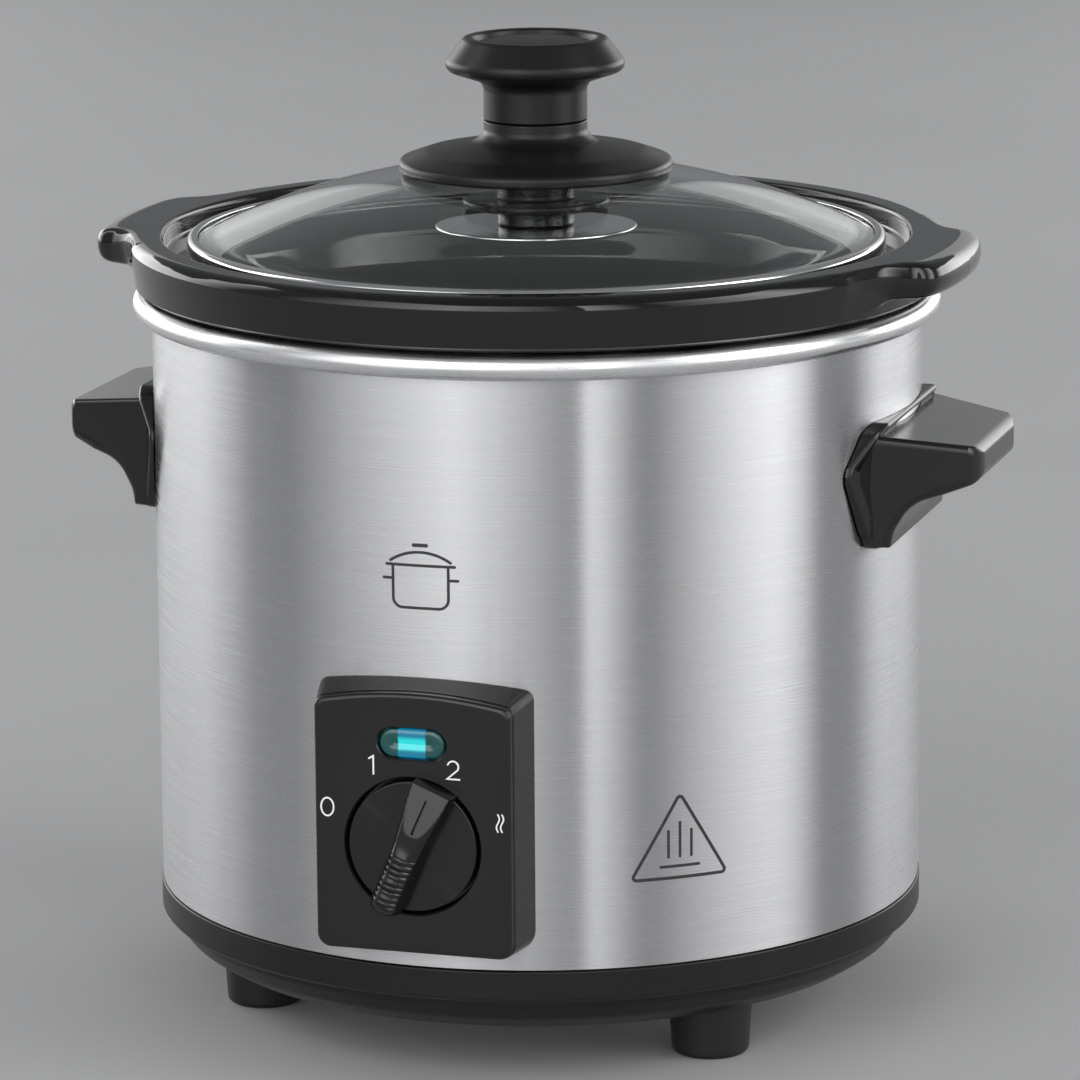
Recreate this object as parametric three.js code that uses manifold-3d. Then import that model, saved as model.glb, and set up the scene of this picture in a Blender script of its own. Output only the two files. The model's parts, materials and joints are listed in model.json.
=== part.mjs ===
// A small round slow cooker: brushed steel casing, black crock with a glass lid, rotary control.
// Millimetres, +Z up. The front (control panel) faces -Y and the handles are on the X sides.
import * as THREE from 'three';
import { mergeVertices } from 'three/addons/utils/BufferGeometryUtils.js';
import Module from 'manifold-3d';

const wasm = await Module();
wasm.setup();

// ---------- driving dimensions ----------
const GAP = 0.3; // clearance kept between pieces that touch
const RING = 36; // facets round the large turned pieces
const KNOB_RING = 24;
const SMALL = 8; // facets round small holes and fasteners

const SHELL_R = 98; // outside of the steel casing
const SHELL_T = 0.8;
const SHELL_TOP = 179.2;
const BASE_TOP = 32.3; // joint between the base ring and the casing
const BASE_BOTTOM = 15; // underside of the base ring, where the feet start
const FLANGE_T = 2.4; // wall of the base ring
const PLATE_Z = BASE_BOTTOM + FLANGE_T + GAP; // bottom plate lies on the base ring's flange
const PLATE_T = 1;

const FOOT_R = 10.65; // top radius of a foot
const FOOT_TIP_R = 9.65;
const FOOT_CIRCLE = 72.8; // the feet's distance from the axis
const FOOT_ANGLES = { foot_front_left: -152.5, foot_front_right: -37.5, foot_rear: 85 };

const WELL_R = 86; // outside of the heating well's wall
const WELL_T = 1;
const WELL_BOTTOM = 51;
const BEAD_R = 3.2; // section of the rolled bead round the well's mouth
const BEAD_CENTRE = new THREE.Vector2(99.5, 182.3);

const SHIELD_Z = 44; // heat shield between the well and the wiring
const TIE_R = 2.5; // stud that ties the well to the bottom plate

const BAND_LOW = 72; // heater band round the well
const BAND_HIGH = 104;

const CROCK_TOP = 199.6;
const CROCK_RIM_R = 103.5;
const CROCK_SEAT = 186; // underside of the crock's rim, on the bead
const CROCK_FOOT = 57;
const CROCK_FLOOR = 64;
const LEDGE_Z = 194.4; // ledge that carries the lid
const EAR_REACH = 113.2;
const EAR_HALF = 28;
const EAR_T = 9;

const GLASS_SPHERE = 202; // radius of the lid's dome
const GLASS_APEX = 217;
const GLASS_T = 3.2;
const GLASS_EDGE_R = 87.5;
const LID_BAND_R = 88.8;
const LID_BAND_TOP = 199;

const NECK_R = 13.15; // neck of the lid knob
const NECK_SEAM = 227.7; // joint between the knob's cap and its skirt
const SKIRT_R = 34.8;
const KNOB_TOP = 248.6;

const PANEL_Y = -106.5; // front face of the control panel
const PANEL_WALL = 2.2;
const PANEL_HALF = 25.3;
const PANEL_FOOT = 37.8;
const PANEL_HEAD = 101;
const PANEL_CROWN = 2.6; // rise of the arched top edge
const REAR_CROWN = 4.6; // the same where the housing meets the casing
const DIAL_Z = 65.2;
const DIAL_R = 16.2;
const DIAL_RECESS_R = 17.2;
const DIAL_REST = 22.5; // angle of the grip from upright, clockwise, at setting 2
const LENS_Z = 90.7;
const LENS_HALF = 8.4;
const LENS_R = 3.75;
const SHAFT_R = 3;

const HANDLE_TIP = 120.7;
const HANDLE_HALF = 31.2;
const HANDLE_SCREW_Z = 148;
const HANDLE_SCREWS = [-14, 14]; // sideways places of a handle's two screws
const SCREW_R = 1.5;

const INLET_Z = 50; // cord inlet at the back
const FRONT_REACH = 115; // grip of the dial
const REAR_REACH = 106; // nose of the cord gland
const AXIS_Y = (FRONT_REACH - REAR_REACH) / 2; // centres the object's box on the origin

// ---------- materials ----------
const finish = (color, roughness, metalness, extra = {}) =>
  new THREE.MeshStandardMaterial({ color, roughness, metalness, ...extra });
const material = {
  steel: finish(0xc9cacd, 0.32, 1),
  polished: finish(0xe4e5e8, 0.12, 1),
  plate: finish(0x9a9ca0, 0.45, 1),
  zinc: finish(0xb4b6ba, 0.35, 1),
  aluminium: finish(0xb9bbbe, 0.4, 1),
  glaze: finish(0x0b0b0c, 0.08, 0),
  glass: finish(0xdfe4e6, 0.04, 0, { transparent: true, opacity: 0.3 }),
  satin: finish(0x1b1c1e, 0.42, 0),
  gloss: finish(0x101113, 0.2, 0),
  rubber: finish(0x151516, 0.7, 0),
  silicone: finish(0x3a3b3d, 0.6, 0),
  lens: finish(0x0c6e70, 0.15, 0, { emissive: 0x12c8d8, emissiveIntensity: 0.8 }),
  lamp: finish(0x8fe8ee, 0.2, 0, { emissive: 0x30e0f0, emissiveIntensity: 1 }),
  ceramic: finish(0xe9e4d8, 0.5, 0),
  nylon: finish(0xd8d6cf, 0.5, 0),
  sleeve: finish(0xc8b98a, 0.7, 0),
  blank: finish(0xb9bbbf, 0.5, 0.6),
};

// ---------- helpers ----------
const V2 = (x, y) => new THREE.Vector2(x, y);
const V3 = (x, y, z) => new THREE.Vector3(x, y, z);
const radians = THREE.MathUtils.degToRad;

// A closed solid from a geometry, its faces turned outwards.
function solid(geometry) {
  const bare = new THREE.BufferGeometry();
  bare.setAttribute('position', geometry.getAttribute('position'));
  bare.setIndex(geometry.getIndex());
  const merged = mergeVertices(bare, 1e-4);
  const p = merged.getAttribute('position');
  const index = merged.getIndex().array;
  const kept = [];
  let volume = 0;
  const a = V3();
  const b = V3();
  const c = V3();
  for (let i = 0; i < index.length; i += 3) {
    const [i0, i1, i2] = [index[i], index[i + 1], index[i + 2]];
    if (i0 === i1 || i1 === i2 || i2 === i0) continue;
    kept.push([i0, i1, i2]);
    a.fromBufferAttribute(p, i0);
    b.fromBufferAttribute(p, i1);
    c.fromBufferAttribute(p, i2);
    volume += a.dot(b.cross(c));
  }
  const triVerts = new Uint32Array((volume > 0 ? kept : kept.map((t) => t.reverse())).flat());
  const vertProperties = new Float32Array(p.array);
  return new wasm.Manifold(new wasm.Mesh({ numProp: 3, vertProperties, triVerts }));
}

function geometryOf(body) {
  const mesh = body.getMesh();
  const geometry = new THREE.BufferGeometry();
  geometry.setAttribute('position', new THREE.BufferAttribute(mesh.vertProperties, 3));
  geometry.setIndex(new THREE.BufferAttribute(mesh.triVerts, 1));
  return geometry;
}

// A turned piece: the profile's points are (radius, height).
function turned(points, segments = RING, closed = false) {
  const profile = points.map(([r, z]) => V2(r, z));
  if (closed) profile.push(profile[0].clone());
  return new THREE.LatheGeometry(profile, segments).rotateX(Math.PI / 2);
}

function drum(radius, low, high, segments = SMALL, topRadius = radius) {
  const geometry = new THREE.CylinderGeometry(topRadius, radius, high - low, segments);
  return geometry.rotateX(Math.PI / 2).translate(0, 0, (low + high) / 2);
}

// A tube with the inner radius, outer radius, bottom and top given.
const tube = (inner, outer, low, high, segments = SMALL * 2) =>
  turned([[inner, low], [outer, low], [outer, high], [inner, high]], segments, true);

function block(x0, x1, y0, y1, z0, z1) {
  const geometry = new THREE.BoxGeometry(x1 - x0, y1 - y0, z1 - z0);
  return geometry.translate((x0 + x1) / 2, (y0 + y1) / 2, (z0 + z1) / 2);
}

// An outline in the XY plane, raised from z = low to z = high.
function raised(shape, low, high, curveSegments = 6) {
  const geometry = new THREE.ExtrudeGeometry(shape, {
    depth: high - low,
    bevelEnabled: false,
    curveSegments,
  });
  return geometry.translate(0, 0, low);
}

const circle = (radius, x = 0, y = 0, segments = SMALL) => {
  const points = [];
  for (let i = 0; i < segments; i += 1) {
    const angle = (2 * Math.PI * i) / segments;
    points.push(V2(x + radius * Math.cos(angle), y + radius * Math.sin(angle)));
  }
  return points;
};

const hexagon = (acrossFlats) => circle(acrossFlats / 2 / Math.cos(Math.PI / 6), 0, 0, 6);

function nut(acrossFlats, hole, low, high) {
  const shape = new THREE.Shape(hexagon(acrossFlats));
  shape.holes.push(new THREE.Path(circle(hole, 0, 0, SMALL * 2).reverse()));
  return raised(shape, low, high);
}

// A screw standing on its head: the head is at z = 0 and the shank points up.
function screw(headR, headH, shankR, length) {
  const chamfer = headH * 0.35;
  return turned(
    [[0, 0], [headR - chamfer, 0], [headR, chamfer], [headR, headH], [shankR, headH],
      [shankR, length - shankR], [shankR * 0.5, length], [0, length]],
    SMALL,
  );
}

// A round-ended slot along X, as a list of points.
function slot(half, radius, x = 0, y = 0, steps = 6) {
  const points = [];
  for (const [side, start] of [[1, -90], [-1, 90]]) {
    for (let i = 0; i <= steps; i += 1) {
      const angle = radians(start + (180 * i) / steps);
      const cx = x + side * (half - radius);
      points.push(V2(cx + radius * Math.cos(angle), y + radius * Math.sin(angle)));
    }
  }
  return points;
}

// Skins a closed solid between two outlines with the same number of points.
function loft(lower, upper) {
  const count = lower.length;
  const points = [...lower, ...upper].flatMap((v) => [v.x, v.y, v.z]);
  const index = [];
  for (let i = 0; i < count; i += 1) {
    const j = (i + 1) % count;
    index.push(i, j, count + j, i, count + j, count + i);
  }
  for (let i = 1; i < count - 1; i += 1) {
    index.push(0, i + 1, i, count, count + i, count + i + 1);
  }
  const geometry = new THREE.BufferGeometry();
  geometry.setAttribute('position', new THREE.Float32BufferAttribute(points, 3));
  geometry.setIndex(index);
  return geometry;
}

// A wire along a smooth path through the points.
function wire(points, radius, steps) {
  const path = new THREE.CatmullRomCurve3(points, false, 'centripetal');
  const section = new THREE.Shape(circle(radius, 0, 0, 6));
  return new THREE.ExtrudeGeometry(section, { extrudePath: path, steps, bevelEnabled: false });
}

const polar = (radius, degrees, z) =>
  V3(radius * Math.cos(radians(degrees)), radius * Math.sin(radians(degrees)), z);

const cooker = new THREE.Group();
cooker.position.y = AXIS_Y;

// Adds a piece, given as a geometry or as a solid.
function add(name, piece, look, place = {}) {
  const body = piece.isBufferGeometry ? solid(piece) : piece;
  const mesh = new THREE.Mesh(geometryOf(body), look);
  mesh.name = name;
  if (place.at) mesh.position.copy(place.at);
  if (place.turn) mesh.rotation.set(...place.turn);
  (place.parent ?? cooker).add(mesh);
  return mesh;
}

// ---------- base ----------
function baseRing() {
  const inner = 58;
  const spigotR = SHELL_R - SHELL_T - GAP - 0.1;
  const profile = [
    [inner, BASE_BOTTOM], [87.5, BASE_BOTTOM], [91.6, 18], [94.6, 22.4], [95.4, 24.3],
    [97.8, 24.3], [98.4, 25], [98.4, BASE_TOP], [spigotR, BASE_TOP], [spigotR, 37],
    [94.2, 37], [94.2, 26.5], [91.4, 21], [86.4, BASE_BOTTOM + FLANGE_T],
    [inner, BASE_BOTTOM + FLANGE_T],
  ];
  let body = solid(turned(profile, RING, true));
  for (const angle of Object.values(FOOT_ANGLES)) {
    const hole = drum(2.2, BASE_BOTTOM - 1, PLATE_Z);
    const { x, y } = polar(FOOT_CIRCLE, angle, 0);
    body = body.subtract(solid(hole.translate(x, y, 0)));
  }
  add('base_ring', body, material.satin);
}

function bottomPlate() {
  const plateR = 66;
  const ventCount = 9;
  const shape = new THREE.Shape(circle(plateR, 0, 0, RING));
  shape.holes.push(new THREE.Path(circle(TIE_R + 0.5).reverse()));
  for (let i = 0; i < ventCount; i += 1) {
    const vent = slot(8, 1.8, 40, 0, 3);
    const turn = (2 * Math.PI * (i + 0.5)) / ventCount;
    for (const point of vent) point.rotateAround(V2(0, 0), turn);
    shape.holes.push(new THREE.Path(vent.reverse()));
  }
  add('bottom_plate', raised(shape, PLATE_Z, PLATE_Z + PLATE_T), material.plate);
}

// The blank rating plate hangs under the bottom plate, ahead of the tie nut.
function ratingPlate() {
  const top = PLATE_Z - GAP;
  add('rating_plate', block(-14, 14, -29, -13, top - 0.6, top), material.blank);
}

function feet() {
  const footTop = BASE_BOTTOM - GAP;
  const webLow = 9.5;
  const headR = 4;
  const headH = 2.2;
  const profile = [
    [2.3, webLow], [5.2, webLow], [5.2, 0], [FOOT_TIP_R - 1.6, 0], [FOOT_TIP_R - 0.4, 0.5],
    [FOOT_TIP_R, 1.8], [FOOT_R, footTop], [2.3, footTop],
  ];
  for (const [name, angle] of Object.entries(FOOT_ANGLES)) {
    const at = polar(FOOT_CIRCLE, angle, 0);
    add(name, turned(profile, SMALL * 2, true), material.rubber, { at });
    const screwAt = at.clone().setZ(webLow - GAP - headH);
    const fixing = screw(headR, headH, 1.8, 12.4);
    add(name.replace('foot', 'foot_screw'), fixing, material.zinc, { at: screwAt });
  }
}

function tie() {
  const topZ = WELL_BOTTOM - GAP;
  const washerTop = PLATE_Z - GAP;
  const washerLow = washerTop - 1;
  const nutTop = washerLow - GAP;
  const nutLow = nutTop - 3.6;
  const holeR = TIE_R + GAP;
  add('tie_stud', drum(TIE_R, nutLow - 1.2, topZ), material.zinc);
  add('tie_washer', tube(holeR, 7, washerLow, washerTop), material.zinc);
  add('tie_nut', nut(8, holeR, nutLow, nutTop), material.zinc);
  const spacer = tube(holeR, 5, PLATE_Z + PLATE_T + GAP, SHIELD_Z - GAP);
  add('tie_spacer', spacer, material.aluminium);
  add('heat_shield', tube(TIE_R + 0.5, 82, SHIELD_Z, SHIELD_Z + 0.8, RING), material.plate);
}

function heatingWell() {
  const inner = WELL_R - WELL_T;
  const bead = [];
  for (let angle = 150; angle <= 430; angle += 40) {
    const x = BEAD_CENTRE.x + BEAD_R * Math.cos(radians(angle));
    const z = BEAD_CENTRE.y + BEAD_R * Math.sin(radians(angle));
    bead.push([x, z]);
  }
  const profile = [
    [0, WELL_BOTTOM], [81, WELL_BOTTOM], [84.8, 53], [WELL_R, 57],
    [WELL_R, 179.5], [87, 183.2], [89.6, 184.4], [95.8, 184.4],
    ...bead,
    [99.5, 185.5], [89.2, 185.5], [86.2, 184], [inner, 180],
    [inner, 57.4], [84, 54], [80.6, WELL_BOTTOM + WELL_T], [0, WELL_BOTTOM + WELL_T],
  ];
  add('heating_well', turned(profile), material.aluminium);
}

// The band is split at the back, where a screw pulls its two lugs together.
function heaterBand() {
  const low = WELL_R + GAP;
  const high = low + 1.9;
  const split = 4;
  const steps = 44;
  const outline = [];
  for (const [radius, from, to] of [[low, 90 + split, 450 - split], [high, 450 - split, 90 + split]]) {
    for (let i = 0; i <= steps; i += 1) {
      const angle = from + ((to - from) * i) / steps;
      const { x, y } = polar(radius, angle, 0);
      outline.push(V2(x, y));
    }
  }
  let body = solid(raised(new THREE.Shape(outline), BAND_LOW, BAND_HIGH));
  const lugX = low * Math.sin(radians(split));
  const middle = (BAND_LOW + BAND_HIGH) / 2;
  for (const side of [-1, 1]) {
    const x = side * lugX;
    const lug = block(Math.min(x, x + side * 1.6), Math.max(x, x + side * 1.6), 86.6, 94.6,
      middle - 6, middle + 6);
    body = body.add(solid(lug));
  }
  const boltHole = drum(1.9, -12, 12).rotateY(Math.PI / 2).translate(0, 91.6, middle);
  body = body.subtract(solid(boltHole));
  add('heater_band', body, material.plate);
  const bolt = screw(2.6, 2, 1.5, 19).rotateY(Math.PI / 2);
  const at = V3(-lugX - 1.6 - GAP - 2, 91.6, middle);
  add('band_screw', bolt, material.zinc, { at });
}

const TERMINAL_ANGLES = { heater_terminal_left: -122, heater_terminal_right: -58 };
const TERMINAL_Z = BAND_LOW + 4;

function heaterTerminals() {
  const low = WELL_R + GAP + 1.9 + GAP;
  for (const [name, angle] of Object.entries(TERMINAL_ANGLES)) {
    const group = new THREE.Group();
    group.rotation.z = radians(angle);
    cooker.add(group);
    const tag = block(low, low + 2.6, -3.2, 3.2, TERMINAL_Z - 4, TERMINAL_Z + 4);
    add(name, tag, material.zinc, { parent: group });
  }
}

function thermalFuse() {
  const group = new THREE.Group();
  group.rotation.z = radians(-150);
  cooker.add(group);
  const can = drum(2.2, -7, 7).rotateX(Math.PI / 2).translate(WELL_R + 3.2, 0, 62);
  add('thermal_fuse', can, material.zinc, { parent: group });
}

function wiring() {
  add('terminal_block', block(-13, 13, 38, 50, 19.2, 31), material.ceramic);
  const leadR = 1.3;
  const supply = [
    V3(0, 90.5, INLET_Z), V3(0, 88.2, 43), V3(0, 83, 34), V3(0, 70, 27), V3(0, 51.4, 25),
  ];
  add('lead_supply', wire(supply, leadR * 1.4, 18), material.nylon);
  const feed = [
    V3(-8, 36.6, 25), V3(-19, 22, 23.5), V3(-24, -20, 23), V3(-20, -70, 27),
    V3(-9, -88.6, 42), V3(-6, -93.5, 52.2),
  ];
  add('lead_switch', wire(feed, leadR, 26), material.sleeve);
  const heater = [
    V3(-13.6, -92.4, 62), polar(93, -104, 64), polar(93, -113, 67), polar(92.4, -121, 70.2),
  ];
  add('lead_heater', wire(heater, leadR, 12), material.sleeve);
  const back = [
    polar(91, -58, 70.2), polar(91.5, -56, 60), polar(89, -54, 42), polar(78, -50, 29),
    V3(30, -20, 24), V3(20, 22, 23.5), V3(8, 36.6, 25),
  ];
  add('lead_return', wire(back, leadR, 28), material.sleeve);
  add('lead_lamp', wire([V3(7, -94.8, 78.8), V3(9, -94.6, 82), V3(7, -95, 85.4)], 1, 8), material.sleeve);
}

function cordGland() {
  const bodyR = 6;
  const bore = 3.4;
  const face = SHELL_R + GAP;
  const profile = [
    [bore, 91.8], [bodyR, 91.8], [bodyR, face], [8.5, face], [8.5, face + 2], [7.6, face + 2.8],
    [5.8, face + 3.4], [5, REAR_REACH], [bore, REAR_REACH],
  ];
  const lay = { at: V3(0, 0, INLET_Z), turn: [-Math.PI / 2, 0, 0] };
  add('cord_gland', turned(profile, SMALL * 2, true), material.rubber, lay);
  add('gland_nut', nut(15, bodyR + GAP, 93.2, 96.3), material.nylon, lay);
}

// ---------- casing ----------
const PANEL_SCREWS = [[-20.5, 46], [20.5, 46], [-20.5, 94.5], [20.5, 94.5]];
const PANEL_SCREW_HEAD_Y = -93.8;

const alongY = (radius, y0, y1, x, z, segments = SMALL) =>
  drum(radius, y0, y1, segments).rotateX(-Math.PI / 2).translate(x, 0, z);

function outerShell() {
  const inner = SHELL_R - SHELL_T;
  let body = solid(tube(inner, SHELL_R, BASE_TOP + GAP, SHELL_TOP, RING));
  body = body.subtract(solid(block(-16, 16, -100, -80, 50, 97)));
  for (const [x, z] of PANEL_SCREWS) {
    body = body.subtract(solid(alongY(1.9, -99, -90, x, z)));
  }
  for (const y of HANDLE_SCREWS) {
    const hole = drum(2, -99, 99).rotateY(Math.PI / 2).translate(0, y, HANDLE_SCREW_Z);
    body = body.subtract(solid(hole));
  }
  body = body.subtract(solid(alongY(6.4, 90, 100, 0, INLET_Z, SMALL * 2)));
  add('outer_shell', body, material.steel);
}

// One handle, pointing along +X: a shelf to lift by on a flange that hugs the casing.
function handle() {
  const shelf = new THREE.Shape([
    V2(88, 156.6), V2(97, 156.3), V2(117.8, 153.4), V2(119.8, 152.4), V2(HANDLE_TIP, 150.4),
    V2(HANDLE_TIP, 146), V2(119.8, 143.8), V2(118, 142.7), V2(112, 141.4), V2(108, 140.2),
    V2(104.6, 138.4), V2(102, 135.8), V2(100.4, 132.8), V2(99.6, 129.4), V2(99.4, 128.2),
    V2(88, 128.2),
  ]);
  const side = raised(shelf, -HANDLE_HALF, HANDLE_HALF).rotateX(Math.PI / 2);
  const plan = new THREE.Shape([
    V2(86, -HANDLE_HALF), V2(96, -HANDLE_HALF), V2(116.3, -25.4), V2(118.4, -24.4),
    V2(119.9, -22.5), V2(HANDLE_TIP, -19.6), V2(HANDLE_TIP, 19.6), V2(119.9, 22.5),
    V2(118.4, 24.4), V2(116.3, 25.4), V2(96, HANDLE_HALF), V2(86, HANDLE_HALF),
  ]);
  const grip = solid(side).intersect(solid(raised(plan, 120, 165)));
  const outline = new THREE.Shape([
    V2(-29, 127.6), V2(29, 127.6), V2(31.4, 128.8), V2(33.2, 132), V2(38.4, 145),
    V2(38.4, 149), V2(34.6, 153.4), V2(31, 157.4), V2(27.4, 159.2), V2(-27.4, 159.2),
    V2(-31, 157.4), V2(-34.6, 153.4), V2(-38.4, 149), V2(-38.4, 145), V2(-33.2, 132),
    V2(-31.4, 128.8),
  ]);
  const stamp = raised(outline, 70, 120).rotateX(Math.PI / 2).rotateZ(Math.PI / 2);
  const hug = turned([[80, 120], [100.6, 120], [100.6, 156.2], [101.8, 156.8], [101.8, 165], [80, 165]],
    RING, true);
  const flange = solid(stamp).intersect(solid(hug));
  const casing = solid(drum(SHELL_R + GAP, 100, 170, RING).rotateZ(Math.PI / 2));
  let body = flange.add(grip).subtract(casing);
  for (const y of HANDLE_SCREWS) {
    const pilot = drum(SCREW_R + GAP, 90, 108).rotateY(Math.PI / 2);
    body = body.subtract(solid(pilot.translate(0, y, HANDLE_SCREW_Z)));
  }
  return body;
}

function handles() {
  const headX = 94.9; // clear of the casing's curved inner face
  for (const [name, turn] of [['left', Math.PI], ['right', 0]]) {
    const group = new THREE.Group();
    group.rotation.z = turn;
    cooker.add(group);
    add(`handle_${name}`, handle(), material.gloss, { parent: group });
    HANDLE_SCREWS.forEach((y, i) => {
      const at = V3(headX - 2, y, HANDLE_SCREW_Z);
      const fixing = screw(3.2, 2, SCREW_R, 13).rotateY(Math.PI / 2);
      add(`handle_screw_${name}_${i + 1}`, fixing, material.zinc, { parent: group, at });
    });
  }
}

// ---------- controls ----------
// The panel's outline at depth y: an upright rectangle with round corners and an arched top.
function panelOutline(y, half, low, high, crown, corner) {
  const points = [];
  const arc = (cx, cz, from) => {
    for (let i = 0; i <= 3; i += 1) {
      const angle = radians(from + 30 * i);
      points.push(V3(cx + corner * Math.cos(angle), y, cz + corner * Math.sin(angle)));
    }
  };
  arc(half - corner, low + corner, -90);
  arc(half - corner, high - corner, 0);
  for (let i = 1; i < 6; i += 1) {
    const t = 1 - i / 3;
    points.push(V3(t * (half - corner), y, high + crown * (1 - t * t)));
  }
  arc(-half + corner, high - corner, 90);
  arc(-half + corner, low + corner, 180);
  return points;
}

const RECESS_FLOOR = PANEL_Y + 4.8; // floor of the round pocket that holds the dial
const FLOOR_T = 1.8;

function controlPanel() {
  const rim = PANEL_Y + 1.2;
  const back = -88;
  const front = panelOutline(PANEL_Y, PANEL_HALF - 0.8, PANEL_FOOT + 0.8, PANEL_HEAD - 0.8,
    PANEL_CROWN, 3.6);
  const shoulder = panelOutline(rim, PANEL_HALF, PANEL_FOOT, PANEL_HEAD, PANEL_CROWN, 4.4);
  const skirt = panelOutline(back, PANEL_HALF + 3.4, PANEL_FOOT - 0.6, PANEL_HEAD + 3,
    REAR_CROWN, 5.4);
  let body = solid(loft(front, shoulder)).add(solid(loft(shoulder, skirt)));
  const t = PANEL_WALL;
  const hollow = loft(
    panelOutline(PANEL_Y + t, PANEL_HALF - t, PANEL_FOOT + t, PANEL_HEAD - t, PANEL_CROWN, 3),
    panelOutline(back + 2, PANEL_HALF + 3.4 - t, PANEL_FOOT + t, PANEL_HEAD + 3 - t, REAR_CROWN, 3),
  );
  body = body.subtract(solid(hollow));
  const cup = RECESS_FLOOR + FLOOR_T;
  body = body.add(solid(alongY(DIAL_RECESS_R + 1.6, PANEL_Y + 1, cup, 0, DIAL_Z, RING)));
  for (const [x, z] of PANEL_SCREWS) {
    body = body.add(solid(alongY(3.3, PANEL_Y + 1, -90, x, z)));
  }
  body = body.subtract(solid(alongY(DIAL_RECESS_R, PANEL_Y - 1, RECESS_FLOOR, 0, DIAL_Z, RING)));
  body = body.subtract(solid(alongY(5.4, RECESS_FLOOR - 1, cup + 1, 0, DIAL_Z)));
  const window = new THREE.Shape(slot(LENS_HALF + GAP, LENS_R + GAP, 0, 0));
  const cut = raised(window, -2, 4).rotateX(Math.PI / 2).translate(0, PANEL_Y + 2, LENS_Z);
  body = body.subtract(solid(cut));
  body = body.subtract(solid(drum(SHELL_R + GAP, 20, 120, RING).rotateZ(Math.PI / 2)));
  for (const [x, z] of PANEL_SCREWS) {
    body = body.subtract(solid(alongY(SCREW_R + 0.2, PANEL_Y + 3.4, -90, x, z)));
  }
  add('control_panel', body, material.gloss);
  PANEL_SCREWS.forEach(([x, z], i) => {
    const fixing = screw(2.9, 1.8, SCREW_R - 0.2, 9).rotateX(Math.PI / 2);
    const at = V3(x, PANEL_SCREW_HEAD_Y + 1.8, z);
    add(`panel_screw_${i + 1}`, fixing, material.zinc, { at });
  });
}

function indicator() {
  const face = new THREE.Shape(slot(LENS_HALF, LENS_R, 0, 0));
  const lip = new THREE.Shape(slot(LENS_HALF + 1.2, LENS_R + 1.2, 0, 0));
  const inside = PANEL_WALL + GAP;
  const lens = solid(raised(face, -inside - 0.4, -0.2)).add(solid(raised(lip, -inside - 1.2, -inside)));
  const upright = { at: V3(0, PANEL_Y, LENS_Z), turn: [Math.PI / 2, 0, 0] };
  add('indicator_lens', lens, material.lens, upright);
  const lamp = drum(2, -6, 6).rotateY(Math.PI / 2);
  add('indicator_lamp', lamp, material.lamp, { at: V3(0, -100.2, LENS_Z) });
  const holder = block(-8, 8, -97.8, -96.4, LENS_Z - 4, LENS_Z + 4);
  add('lamp_holder', holder, material.nylon);
}

function rotarySwitch() {
  const front = RECESS_FLOOR + FLOOR_T + GAP;
  const rear = -90.2;
  const half = 12;
  const corner = 3;
  const outline = new THREE.Shape([
    V2(-half + corner, -half), V2(half - corner, -half), V2(half, -half + corner),
    V2(half, half - corner), V2(half - corner, half), V2(-half + corner, half),
    V2(-half, half - corner), V2(-half, -half + corner),
  ]);
  const box = raised(outline, front, rear).rotateX(-Math.PI / 2).translate(0, 0, DIAL_Z);
  const bushEnd = RECESS_FLOOR - 2.4;
  const bush = alongY(5, bushEnd, front + 1, 0, DIAL_Z);
  const bore = alongY(SHAFT_R + GAP, bushEnd - 1, rear + 1, 0, DIAL_Z);
  const body = solid(box).add(solid(bush)).subtract(solid(bore));
  add('switch_body', body, material.ceramic);
  const ring = nut(13, 5.3, -2.2, 0).rotateX(-Math.PI / 2);
  add('switch_nut', ring, material.zinc, { at: V3(0, RECESS_FLOOR - GAP, DIAL_Z) });
}

// The dial is a flush disc with a grip across it, ribbed in its lower half.
function dial() {
  const group = new THREE.Group();
  group.position.set(0, 0, DIAL_Z);
  group.rotation.y = radians(DIAL_REST);
  cooker.add(group);
  const discBack = PANEL_Y + 1.8;
  const half = 5.3; // at the pointer end, where the grip is widest
  const top = 16; // pointer end of the grip
  const bottom = -17; // ribbed end of the grip
  const crest = FRONT_REACH + PANEL_Y; // height of the ribs above the disc
  const side = new THREE.Shape([
    V2(discBack - 0.6, top), V2(PANEL_Y - 4.6, top - 1.7), V2(PANEL_Y - 6, 0),
    V2(PANEL_Y - crest, -5), V2(PANEL_Y - crest, bottom + 1.2), V2(PANEL_Y - crest + 1.2, bottom),
    V2(discBack - 0.6, bottom),
  ]);
  // The side view's first axis is depth (Y) and its second is height (Z).
  const grip = raised(side, -half, half);
  grip.applyMatrix4(new THREE.Matrix4().makeBasis(V3(0, 1, 0), V3(0, 0, 1), V3(1, 0, 0)));
  const plan = new THREE.Shape([
    V2(-3.9, bottom - 1), V2(3.9, bottom - 1), V2(4.3, -14), V2(4.3, 3), V2(half, top - 2),
    V2(half - 0.7, top + 1), V2(-half + 0.7, top + 1), V2(-half, top - 2), V2(-4.3, 3),
    V2(-4.3, -14),
  ]);
  const wedge = solid(raised(plan, 90, 140).rotateX(Math.PI / 2));
  const disc = alongY(DIAL_R, PANEL_Y, discBack, 0, 0, RING);
  // Beyond the disc the grip's end clears the panel's face.
  const spare = solid(tube(DIAL_R, 30, PANEL_Y - 0.4, PANEL_Y + 8, RING).rotateX(-Math.PI / 2));
  const bore = alongY(SHAFT_R + GAP, -110.3, discBack + 1, 0, 0);
  const body = solid(disc).add(solid(grip).intersect(wedge)).subtract(spare).subtract(solid(bore));
  add('dial_knob', body, material.gloss, { parent: group });
  add('switch_shaft', alongY(SHAFT_R, -110, -91.4, 0, 0), material.zinc, { parent: group });
}

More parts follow.
